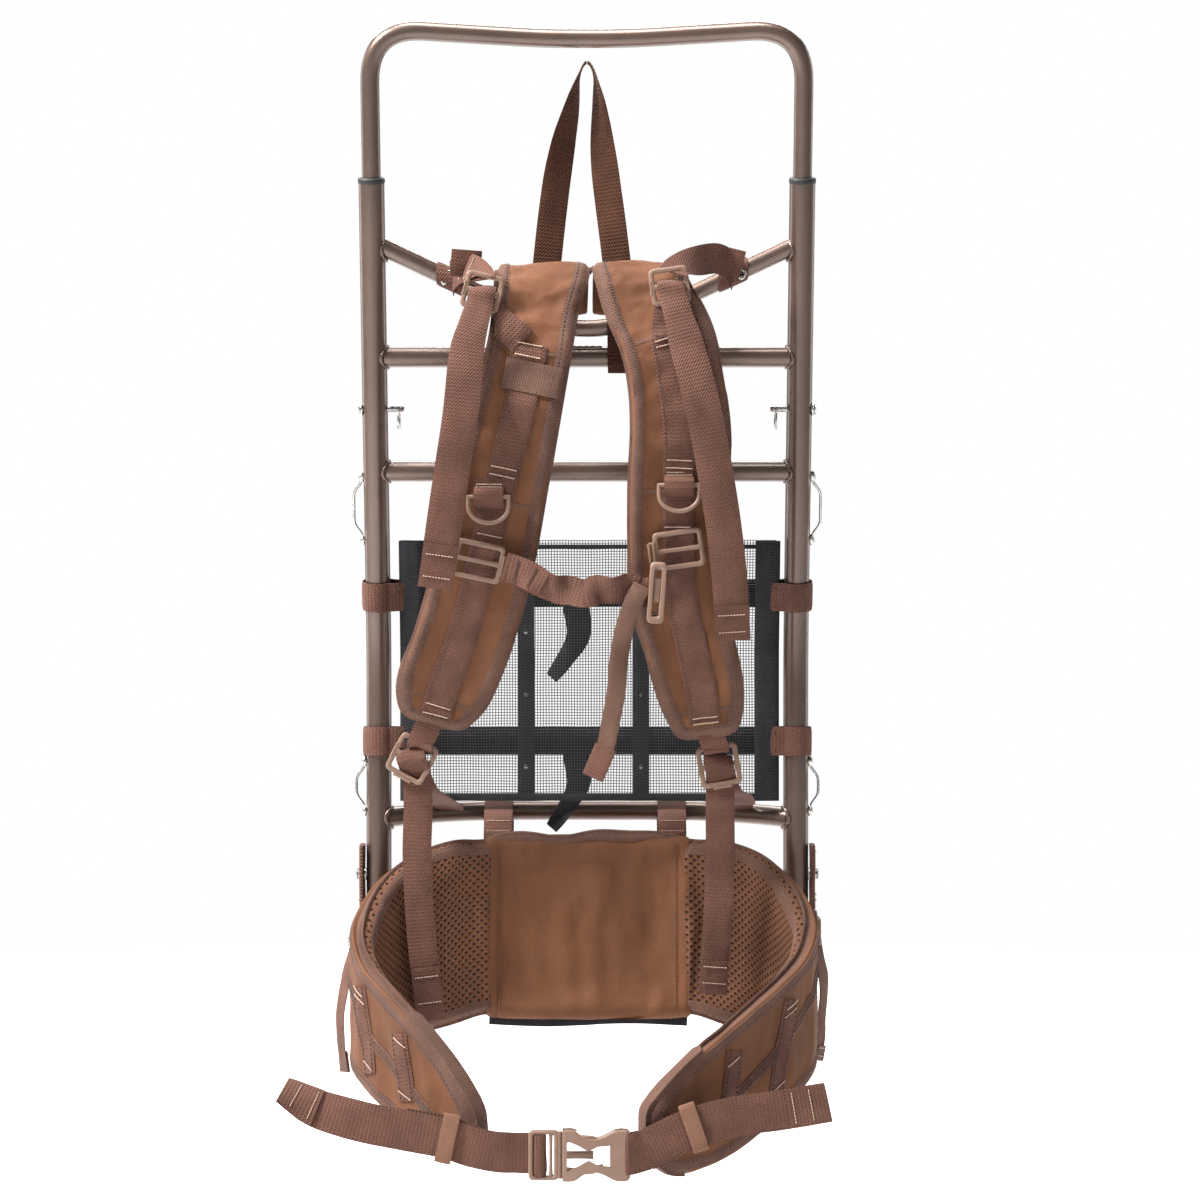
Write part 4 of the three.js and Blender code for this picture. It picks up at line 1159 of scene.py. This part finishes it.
def make_sternum():
    sliders = {"left": ((-92, -136, 419), 12), "right": ((78, -138.5, 429), -8)}
    for name, (centre, tilt) in sliders.items():
        side = SIDES[name]
        outer, inner = edge_box(42, 33, 4, 4, 0.7), edge_box(34, 25, 4, 2.2, 0.7)
        parts = [moulded_ring(outer, inner, 4.2), moulded_bar((-18, -0.5, 0), (18, -0.5, 0), 3.8, 4.0)]
        hook = -side * 21
        parts.append(moulded_bar((hook, -1.2, -9), (hook, -1.2, 9), 3.0, 4.6))
        parts.append(moulded_bar((hook + -side * 4.0, -1.8, -8), (hook + -side * 4.0, -1.8, 8), 2.6, 3.2))
        for z in (-8, 8):
            parts.append(moulded_bar((hook, -1.6, z), (hook - side * 4.0, -1.8, z), 2.4, 3.0))
        shape = set_down(merge(*parts), centre, tilt, 11)
        piece(f"slider_{name}_frame", *shape, "tan", body=f"slider_{name}", stands_for=[f"sternum_slider_{name}"])
    run = [[-70, -140, 414], [-60, -142, 411], [-50, -145, 407], [-38, -148, 400], [-26, -152, 395], [-14, -153, 394],
           [-2, -156, 391], [10, -155, 395], [22, -158, 394], [34, -154, 396], [44, -155, 393], [52, -154, 392]]
    turn = [0, 4, -6, 14, 20, -12, -26, 12, 28, 8, -10, -4]
    band = Band([[*p, 25] for p in run], (0, 0, 1), steps=8, turn=turn)
    points, faces, uv = strap(band, 1.7, 8, ripple=1.2, seed=9)
    made = piece("sternum_webbing", points, faces, "webbing", None, uv, ["sternum_strap"], 60)
    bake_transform(made)
    second = [[-66, -142.5, 413], [-56, -145, 410], [-46, -149, 405], [-36, -151, 399]]
    fold = Band([[*p, 24] for p in second], (0, 0, 1), steps=6, turn=[0, 3, -4, 12])
    points, faces, uv = strap(fold, 1.7, 6)
    piece("sternum_fold", points, faces, "webbing", "slider_left", uv, crease=60)
    runs = [([fold.at(r, u, -1.2 if fold.face[r][1] > 0 else 1.2) for u in np.linspace(-0.85, 0.85, 12)],
             fold.face[r] * (-1 if fold.face[r][1] > 0 else 1)) for r in (4, 12)]
    stitches("sternum_fold_stitch", runs, "seam", "slider_left", 2.4, 0.45, 2.2)
    tail, tail_band = strap_piece("sternum_tail", [[47, -158, 398], [40, -160, 386], [32, -157, 362], [27, -154, 336], [25, -152, 310],
                                                   [20, -150, 282], [14, -148, 252]], 16, "binding", body="slider_right",
                                  turn=[0, 8, 0, -10, 4, 14, 22], thick=1.5, ripple=0.9, bow=0.5)
    end = [[16, -150.5, 262], [11, -149, 250], [5, -147, 236]]
    strap_piece("sternum_tail_end", end, [19, 19, 19], "webbing", body="slider_right", across=(1, -0.2, -0.35), thick=2.6)
    body = [moulded_ring(edge_box(14, 52, 22, 4, 0.7), edge_box(6, 40, 22, 2, 0.7), 21, 1.2)]
    body.append(moulded_bar((-4, 0, 20), (4, 0, 20), 4, 12))
    body.append(moulded_bar((-4, 0, -18), (4, 0, -18), 4, 14))
    body.append(moulded_bar((0, -7, -8), (0, -7, 12), 6.5, 3.6))
    body.append(moulded_bar((-3.5, 0, 2), (-3.5, 0, 24), 4.0, 17))
    body.append(moulded_bar((3.5, 0, -24), (3.5, 0, -4), 4.0, 17))
    piece("sternum_clasp", *set_down(merge(*body), (59, -153, 392), 4), "tan", body="slider_right", stands_for=["sternum_buckle"])


def make_patch():
    """The plain label sewn over the left pad."""
    skin = pad_skin["left"]
    centre = np.array([[-70 + 7.4 * t, -150, 578 - 1.6 * t] for t in np.linspace(0, 7, 20)])
    sewn("pad_patch", skin, centre, unit([0.21, 0, 0.98]), (0, -1, 0.05), 26, "binding", 1.0, 2.4, 6)


def make_haul_loop():
    run = [[-38, -88, 588], [-37, -88, 640], [-33, -89, 690], [-24, -90, 760], [-12, -90, 815], [-6, -90, 840],
           [0, -90, 849], [6, -90, 840], [10, -90, 815], [15, -90, 760], [24, -89, 690], [29, -88, 640], [30, -88, 588]]
    turn = [0, 0, 6, 22, 62, 88, 90, 88, 62, 22, 6, 0, 0]
    width = [24.5] * 4 + [22, 18, 18, 18, 22] + [24.5] * 4
    strap_piece("haul_strap", run, width, "dark_webbing", turn=turn, stands_for=["haul_loop"], thick=1.7, ripple=0.7, steps=9)
    for k, x in enumerate((-38, 30)):
        wrap = []
        for a in np.linspace(-2.9, 2.9, 34):
            r = BAR_R + 1.6
            wrap.append(leaning(x, -r * math.cos(a), 263 + r * math.sin(a)))
        strap_piece(f"haul_wrap_{k}", wrap, 24, "dark_webbing", steps=2, thick=1.7)
        front = [leaning(x, -BAR_R - 3.0, 263 + d) for d in (-12, -4, 6, 16)]
        strap_piece(f"haul_link_{k}", front, 24, "dark_webbing", thick=1.7)


for side_name in SIDES:
    make_shoulder_pad(side_name)
    make_lifter(side_name)
make_patch()
make_d_ring("left", (-83, -146, 473))
make_d_ring("right", (78, -149, 483))
make_sternum()
make_haul_loop()


# ---------------------------------------------------------------- hip belt

# Stations of a wing from the lumbar pad forward: x, y, top edge, bottom edge
WINGS = {
    "left": [[-80, -35, 176, 25], [-96, -38, 175, 23], [-120, -40, 174, 15], [-155, -46, 161, 6], [-182, -64, 138, -2], [-195, -92, 106, -12],
             [-186, -124, 77, -27], [-162, -156, 54, -46], [-134, -184, 28, -62], [-108, -203, -4, -72], [-88, -215, -38, -66]],
    "right": [[82, -35, 176, 25], [98, -38, 175, 23], [122, -40, 174, 15], [156, -46, 161, 6], [181, -62, 136, -2], [190, -88, 108, -12],
              [181, -116, 82, -28], [156, -146, 60, -52], [124, -174, 36, -74], [92, -197, 12, -86], [66, -210, -12, -86],
              [48, -217, -34, -66]],
}


def make_wing(name):
    side = SIDES[name]
    stations = [[x, y, (top + low) / 2, top - low] for x, y, top, low in WINGS[name]]
    band = Band(stations, (0, 0, 1), True, 8)
    if side > 0:
        band.face = -band.face
    shell_points, shell_faces, uv = cushion(band, 9, 18, 0.5, 4, 2.6, (30, 1.2), 11 + side, 4.6, 1.0, 0.8)
    if side > 0:
        shell_faces = [f[::-1] for f in shell_faces]
    shell = piece(f"wing_shell_{name}", shell_points, shell_faces, "cloth", uv=uv, stands_for=[f"belt_wing_{name}"])
    lining_points, lining_faces, uv = cushion(band, 11, 18, 0.4, 4, 5.5, (30, 1.3), 5 + side, -4.6, 0.7, 1.5)
    if side > 0:
        lining_faces = [f[::-1] for f in lining_faces]
    lining = piece(f"wing_lining_{name}", lining_points, lining_faces, "spacer", uv=uv)
    inflate(shell, 3, 5, edge_points(band.count(), 18))
    inflate(lining, 4, 9, edge_points(band.count(), 18))
    for made in (shell, lining):
        smooth_piece(made)
    both, outer = Surface(shell, lining), Surface(shell)
    edge, normals = outline(band, 0.0, 1.0)
    _, line = bound_edge(f"wing_binding_{name}", both, edge, normals, side * -1, 12, stitch_at=9.5, over=True)
    stitches(f"wing_edge_stitch_{name}", [(line[1:-1], normals[1:-1])], "seam", pitch=4.2, size=0.36)
    count = band.count()

    def spot(t, u):
        row = t * (count - 1)
        r, k = min(int(row), count - 2), row - min(int(row), count - 2)
        centre = band.at(r, u) * (1 - k) + band.at(r + 1, u) * k
        return centre, unit(band.face[r] * (1 - k) + band.face[r + 1] * k)

    def ribbon(tag, path, width, look, thick=1.3, lift=0.2, columns=6):
        data = [spot(t, u) for t, u in through(path, 10)]
        centre = np.array([d[0] for d in data])
        face = np.array([d[1] for d in data])
        wide = unit(np.cross(face, tangents(centre)))
        sewn(f"wing_{tag}_{name}", outer, centre, wide, face, width, look, thick, lift, columns)
        rows = (0.5 - 3.0 / max(width, 7)) * width
        return [(np.array([outer.land(c + w * x, f, lift + thick + 0.2) for c, w, f in zip(centre, wide, face)]), face)
                for x in (-rows, rows)]

    seams = []
    swoosh = ([[0.36, 0.42], [0.5, 0.2], [0.62, 0.0], [0.74, -0.2], [0.86, -0.45], [0.93, -0.7]] if side < 0 else
              [[0.36, 0.5], [0.5, 0.28], [0.62, 0.05], [0.72, -0.12], [0.82, -0.32], [0.9, -0.62]])
    seams += ribbon("swoosh", swoosh, 9, "binding", 0.7)
    seams += ribbon("strip_a", [[0.60, 0.62], [0.61, 0.2], [0.63, -0.2], [0.64, -0.62]], 19, "webbing")
    seams += ribbon("strip_b", [[0.74, 0.58], [0.745, 0.2], [0.755, -0.2], [0.76, -0.5]], 19, "webbing")
    seams += ribbon("strip_c", [[0.40, 0.8], [0.41, 0.3], [0.42, -0.2], [0.42, -0.8]], 20, "webbing")
    stitches(f"wing_seams_{name}", seams, "seam", pitch=4.0, size=0.36)
    tacks = []
    for t, u in ((0.60, 0.55), (0.605, 0.45), (0.635, -0.5), (0.745, 0.45), (0.755, -0.42), (0.41, 0.6), (0.42, -0.6)):
        centre, face = spot(t, u)
        ahead, _ = spot(t + 0.012, u)
        along = unit(ahead - centre)
        tacks.append(([outer.land(centre + along * x, face, 1.9) for x in np.linspace(-7.5, 7.5, 8)], face))
    stitches(f"wing_tacks_{name}", tacks, pitch=2.0, size=0.5, bar=2.0)


def make_lumbar():
    stations = [[1, -38, z, 184] for z in np.linspace(181, 18, 12)]
    stations[0][3] = stations[-1][3] = 180
    band = Band(stations, (1, 0, 0), steps=3)
    points, faces, uv = cushion(band, 20, 30, 0.6, 6, 3.4, (80, 6.0), 21)
    pad = piece("lumbar_cushion", points, faces, "cloth", uv=uv, stands_for=["lumbar_pad"])
    inflate(pad, 4, 8, edge_points(band.count(), 30))
    smooth_piece(pad)
    skin = Surface(pad)
    for tag, x in (("left", -83), ("right", 85)):
        run = [[x, -48, z] for z in np.linspace(177, 22, 40)]
        sewn(f"lumbar_side_{tag}", skin, run, (1, 0, 0), (0, -1, 0), 8, "cloth", 0.8, 0.2, 4)
        inner = x + (7 if x < 0 else -7)
        stitches(f"lumbar_side_stitch_{tag}", [([skin.land((inner, -48, z), (0, -1, 0), 0.4) for z in np.linspace(174, 26, 60)],
                                                (0, -1, 0))], "seam", pitch=4.0, size=0.34)
    low = [[x, -31 + 0.8 * math.sin(x / 19), 20 + 1.2 * math.sin(x / 24)] for x in np.linspace(-86, 88, 24)]
    band = Band([[*p, 15] for p in low], (0, 0, 1), steps=3)
    points, faces, uv = strap(band, 2.2, 6, ripple=0.8)
    piece("lumbar_base_strap", points, faces, "black_webbing", uv=uv)
    wave = [[x, -40 + 3 * (x / 100) ** 2, 177.5 + 1.8 * math.sin(x / 21) + 0.9 * math.sin(x / 9 + 1) - 9 * abs((x - 1) / 95) ** 12] for x in np.linspace(-94, 96, 40)]
    radius = [(5.6 + 0.7 * math.sin(x[0] / 13)) * max(1 - abs((x[0] - 1) / 96) ** 8, 0.4) for x in wave]
    pts, fcs = tube(through(wave, 3), np.interp(np.linspace(0, 39, 118), np.arange(40), radius), 20)
    uv = np.column_stack([np.tile(np.arange(20) * 0.0017, len(pts) // 20), np.repeat(np.arange(len(pts) // 20) * 0.0017, 20)])
    piece("lumbar_top_roll", pts, fcs, "binding", uv=uv)


def make_hangers():
    route = [[-24, 150], [-19, 172], [-10, 190], [10, 205], [36, 210], [51, 203], [53, 190], [46, 178], [30, 174],
             [14, 178], [0, 172], [-8, 156]]
    for name, x in (("left", -79), ("right", 75)):
        made, band = strap_piece(f"hanger_{name}", [[x, y, z] for y, z in route], 25, "webbing",
                                 stands_for=[f"belt_hanger_{name}"], thick=1.8, ripple=0.5, steps=6)
        rows = [r for r in range(band.count()) if band.centre[r, 1] < 2][::3][:5]
        stitches(f"hanger_stitch_{name}", [([band.at(r, u, -1.2 if band.face[r][1] > 0 else 1.2) for u in np.linspace(-0.8, 0.8, 9)],
                                            (0, -1, 0.2)) for r in rows], pitch=2.6, size=0.4, bar=2.0)


def make_lower_straps():
    buckles = {"left": ((-151, -84, 249), 28), "right": ((114, -82, 243), -10)}
    runs = {
        "left": [[-123, 26, 196], [-124, 5, 204], [-126, -16, 206], [-133, -40, 213], [-142, -62, 221], [-148, -73, 234],
                 [-152, -78, 250], [-153, -82, 258], [-152, -88.2, 250], [-149, -86.5, 243], [-147, -81, 234], [-146, -80, 205],
                 [-147, -78, 160], [-143, -74, 90],
                 [-135, -66, 22]],
        "right": [[134, 20, 196], [135, 4, 204], [136, -16, 206], [132, -38, 214], [122, -60, 220], [117, -71, 232],
                  [114, -76, 244], [113, -80, 252], [114, -86.2, 244], [115, -84.5, 237], [115, -80, 226], [115, -81, 196], [115, -77, 155], [112, -72, 90],
                  [109, -63, 44]],
    }
    for name, (centre, tilt) in buckles.items():
        side = SIDES[name]
        shape = set_down(ladder_buckle(36, 36), centre, tilt)
        piece(f"pad_lock_{name}_frame", *shape, "tan", body=f"pad_lock_{name}", stands_for=[f"pad_buckle_{name}"])
        made, band = strap_piece(f"lower_webbing_{name}", runs[name], 25, "webbing", stands_for=[f"lower_strap_{name}"],
                                 thick=1.6, ripple=0.8, bow=0.5, seed=side * 3, steps=9,
                                 turn=[0, 0, 0, 0, 0] + [side * -6] * 6 + [0, 0, 0, 0])
        folded_end(f"lower_webbing_{name}", band)
        last = pad_band[name].centre[-1]
        a = math.radians(tilt)
        bar = np.array(centre) + [15.5 * math.sin(a), 0, 15.5 * math.cos(a)]
        loop = [last + [0, -5, 12], (last + bar) / 2 + [0, -4.6, 2], bar + [0, -4.4, 1], bar + [0, -3.2, -3.6], bar + [0, 3.2, -3.6],
                bar + [0, 4.4, 2], last + [0, 4, 6]]
        strap_piece(f"pad_lock_{name}_web", loop, 22, "webbing", across=(math.cos(a), 0, -math.sin(a)), steps=5, thick=1.6)


def make_stabilisers():
    runs = {
        "left": [[-199.5, -1, 112], [-203, -8, 92], [-208, -18, 72], [-213, -27, 50], [-217, -33, 20], [-216, -35, -4], [-213, -36, -28]],
        "right": [[199.5, -1, 112], [202, -8, 92], [205, -18, 72], [208, -27, 50], [206, -33, 20], [205, -34, 0], [202, -36, -18]],
    }
    for name, side in SIDES.items():
        x = side * (UPRIGHT_X + UPRIGHT_R + 3.5)
        path = [[x, -0.5, 169], [x + side * 0.3, 0, 150], [x, 0, 130], [x, -1, 112]]
        made, band = strap_piece(f"stabiliser_tab_{name}", path, 25, "webbing", across=(0, 1, 0), thick=4.4, ripple=0.3)
        eye = turned([(3.4, -2.9), (5.8, -2.9), (5.8, 2.9), (3.4, 2.9)], (x, 0, 143), (1, 0, 0), 24)
        piece(f"stabiliser_eye_{name}", *eye, "steel")
        runs_at = [([[x + side * 2.6, y, z] for y in np.linspace(-10, 10, 8)], (side, 0, 0)) for z in (125, 120, 163)]
        stitches(f"stabiliser_stitch_{name}", runs_at, pitch=2.4, size=0.45, bar=2.2)
        made, band = strap_piece(f"stabiliser_tail_{name}", runs[name], 22, "webbing", across=(side * 0.4, 1, 0), thick=1.7,
                                 ripple=1.0, seed=side, stands_for=[f"stabiliser_{name}"])
        folded_end(f"stabiliser_tail_{name}", band)
        lock = ladder_buckle(26, 24, 3.6, 3.6, False)
        points = np.asarray(lock[0])
        points = np.column_stack([side * -points[:, 1], points[:, 0], points[:, 2]]) + [side * 204.5, -6, 93]
        piece(f"stabiliser_lock_{name}", points, lock[1], "tan")


BUCKLE = np.array([0, -236, -68])


def make_waist():
    runs = {
        "left": [[-76, -232, -66], [-60, -230.5, -67], [-45, -229.6, -68], [-34.5, -230.4, -68], [-33.4, -236, -68],
                 [-35.6, -239.9, -68], [-41, -239.9, -68], [-43.3, -236, -67.5], [-46.5, -231.9, -67], [-56, -231.6, -67],
                 [-72, -234.6, -66], [-92, -235.5, -62], [-102, -235, -59], [-114, -234, -55],
                 [-150, -234, -48], [-184, -235, -41], [-220, -236, -30], [-249, -236, -15]],
        "right": [[46, -230, -65], [36, -229.6, -67], [31.2, -231, -67], [31.0, -238, -67], [33, -243.2, -67], [38, -242.6, -66.5],
                  [48, -238.4, -64], [62, -236, -57], [88, -233, -46], [120, -229, -38], [160, -224, -33],
                  [199, -216, -28]],
    }
    turn = {"left": [0] * 14 + [4, 10, 30, 62], "right": [0] * 9 + [4, -8, -22]}
    for name, run in runs.items():
        side = SIDES[name]
        made, band = strap_piece(f"waist_webbing_{name}", run, 33, "webbing", across=(0, 0, 1), turn=turn[name], thick=1.8,
                                 stands_for=[f"belt_webbing_{name}"], ripple=0.9, bow=0.3, seed=side * 4,
                                 body="frame" if side > 0 else None)
        if side < 0:
            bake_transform(made)
            band.face = -band.face
        folded_end(f"waist_webbing_{name}", band)
        under = [[p[0], p[1] + 2.6, p[2] + (1.5 if side < 0 else -1.5)] for p in (run[11:-3] if side < 0 else run[6:-2])]
        strap_piece(f"waist_under_{name}", under, 33, "webbing", across=(0, 0, 1), thick=1.6, ripple=0.6, seed=5)
    for name, (centre, tilt) in {"left": ((-114, -234, -55), -12), "right": ((88, -233, -46), 19)}.items():
        a = math.radians(tilt)
        up, along = np.array([math.sin(-a), 0, math.cos(a)]), np.array([math.cos(a), 0, math.sin(a)])
        ring = []
        for t in np.linspace(0, 2 * math.pi, 40):
            c, s = math.cos(t), math.sin(t)
            ring.append(np.array(centre) + up * 19.8 * np.sign(s) * abs(s) ** 0.35 + np.array([0, -1, 0]) * 4.4 * np.sign(c) * abs(c) ** 0.6)
        band = Band([[*p, 13.5] for p in ring], along, steps=2)
        points, faces, uv = strap(band, 1.4, 6, ripple=0.25)
        piece(f"waist_keeper_{name}", points, faces, "elastic", uv=uv, stands_for=[f"belt_keeper_{name}"])


def bar_at(points, radius, sides=14):
    return tube(through(points, 6), radius, sides)


def make_waist_buckle():
    cx, cy, cz = BUCKLE
    male = [moulded_ring(edge_box(25, 41, 7, 4, 1) + [-35, 0], edge_box(17, 34, 7, 2, 1) + [-35, 0], 7, 1.1),
            moulded_bar((-38.4, 0, -17.5), (-38.4, 0, 17.5), 4.4, 6.4), moulded_bar((-29, 0, -17.5), (-29, 0, 17.5), 3.0, 6.8),
            moulded_bar((-22, 0, -19), (-22, 0, 19), 5.2, 7.0, 0.1)]
    tongue = edge_box(30, 6, 5, 2.4, 0.8)
    male.append(moulded_bar((-22, 0, 0), (6, 0, 0), 6.5, 5.0, 0.1))
    piece("waist_tongue", *moved(merge(*male), BUCKLE), "tan", body="buckle_tongue", stands_for=["buckle_male"])
    for name, side, body in (("upper", 1, "upper_prong"), ("lower", -1, "lower_prong")):
        spine = through([[-20.6, 0, 12], [-12, 0, 13], [-3, 0, 13.2], [6, 0, 12], [14, 0, 9]], 5)
        sections = []
        grow = np.interp(np.linspace(0, 1, len(spine)), [0, 0.4, 0.75, 1], [2.6, 2.7, 3.6, 1.5])
        for p, g in zip(spine, grow):
            t = np.linspace(0, 2 * math.pi, 16, endpoint=False)
            c, s = np.cos(t), np.sin(t)
            sections.append(np.column_stack([np.full(16, p[0]), np.sign(s) * np.abs(s) ** 0.6 * 3.0,
                                             side * (p[2] + np.sign(c) * np.abs(c) ** 0.6 * g)]))
        sections = np.array(sections)
        piece(f"waist_prong_{name}", *moved((sections.reshape(-1, 3), loft(sections)), BUCKLE), "tan", body=body,
              stands_for=[f"prong_{name}"])
    waist = [(-19.6, 21), (-10, 20.6), (-2, 15.5), (6, 13.5), (14, 15.5), (24, 20.4), (33, 20.6), (35.6, 18)]
    front = []
    shape = through([[x, h, 0] for x, h in waist], 6)[:, :2]
    upper = [(x, h) for x, h in shape]
    lower = [(x, -h) for x, h in shape[::-1]]
    rim = np.array(upper + lower)
    for y in (-6.9, 6.9):
        panel = np.array(rim)
        middle = panel.mean(axis=0)
        layers = []
        for shrink, depth in ((1.0, -0.75), (0.985, -0.3), (0.95, 0.0), (0.9, 0.1)):
            layers.append(np.column_stack([middle[0] + (panel[:, 0] - middle[0]) * shrink, np.full(len(panel), y - np.sign(-y) * depth),
                                           panel[:, 1] * shrink]))
        if y < 0:
            hole = np.column_stack([np.interp(panel[:, 0], [-20, 36], [-16, 19.5]), np.full(len(panel), y - 0.1 * np.sign(-y)),
                                    np.clip(panel[:, 1], -1, 1) * np.interp(panel[:, 0], [-20, -4, 8, 20, 36], [12.5, 8, 3.6, 7.5, 8.5])])
            layers.append(hole)
            layers.append(hole + [0, 1.6, 0])
        layers += [l + [0, 1.5 if y < 0 else -1.5, 0] for l in layers[:1]][::-1]
        sections = np.array(layers).transpose(1, 0, 2)
        front.append((sections.reshape(-1, 3), loft(sections, True)))
    for z in (1, -1):
        edge = through([[x, 0, z * (h - 2.0)] for x, h in waist[2:6]], 5)
        front.append(tube(edge, 2.6, 12))
        front.append(moulded_bar((24, 0, z * 18.2), (34, 0, z * 18.2), 4.4, 13.6, 0))
        front.append(moulded_bar((-18, 0, z * 19.4), (-8, 0, z * 18.6), 2.6, 13.6, 0))
    front.append(moulded_bar((23.5, 0, -18.5), (23.5, 0, 18.5), 3.4, 13.8, 0.1))
    front.append(moulded_bar((34, 0, -18.5), (34, 0, 18.5), 4.0, 12.6, 0.1))
    front.append(moulded_bar((28.5, 0.8, -18.5), (28.5, 0.8, 18.5), 2.8, 6.0, 0.1))
    piece("waist_housing", *moved(merge(*front), BUCKLE), "tan", stands_for=["buckle_female"])


def moved(shape, offset):
    points, faces = shape
    return np.asarray(points, float) + offset, faces


MATERIAL["elastic"] = webbing_look("tan_elastic", (0.21, 0.105, 0.066), 0.0012, 0.0018)
for side_name in SIDES:
    make_wing(side_name)
make_lumbar()
make_hangers()
make_lower_straps()
make_stabilisers()
make_waist()
make_waist_buckle()
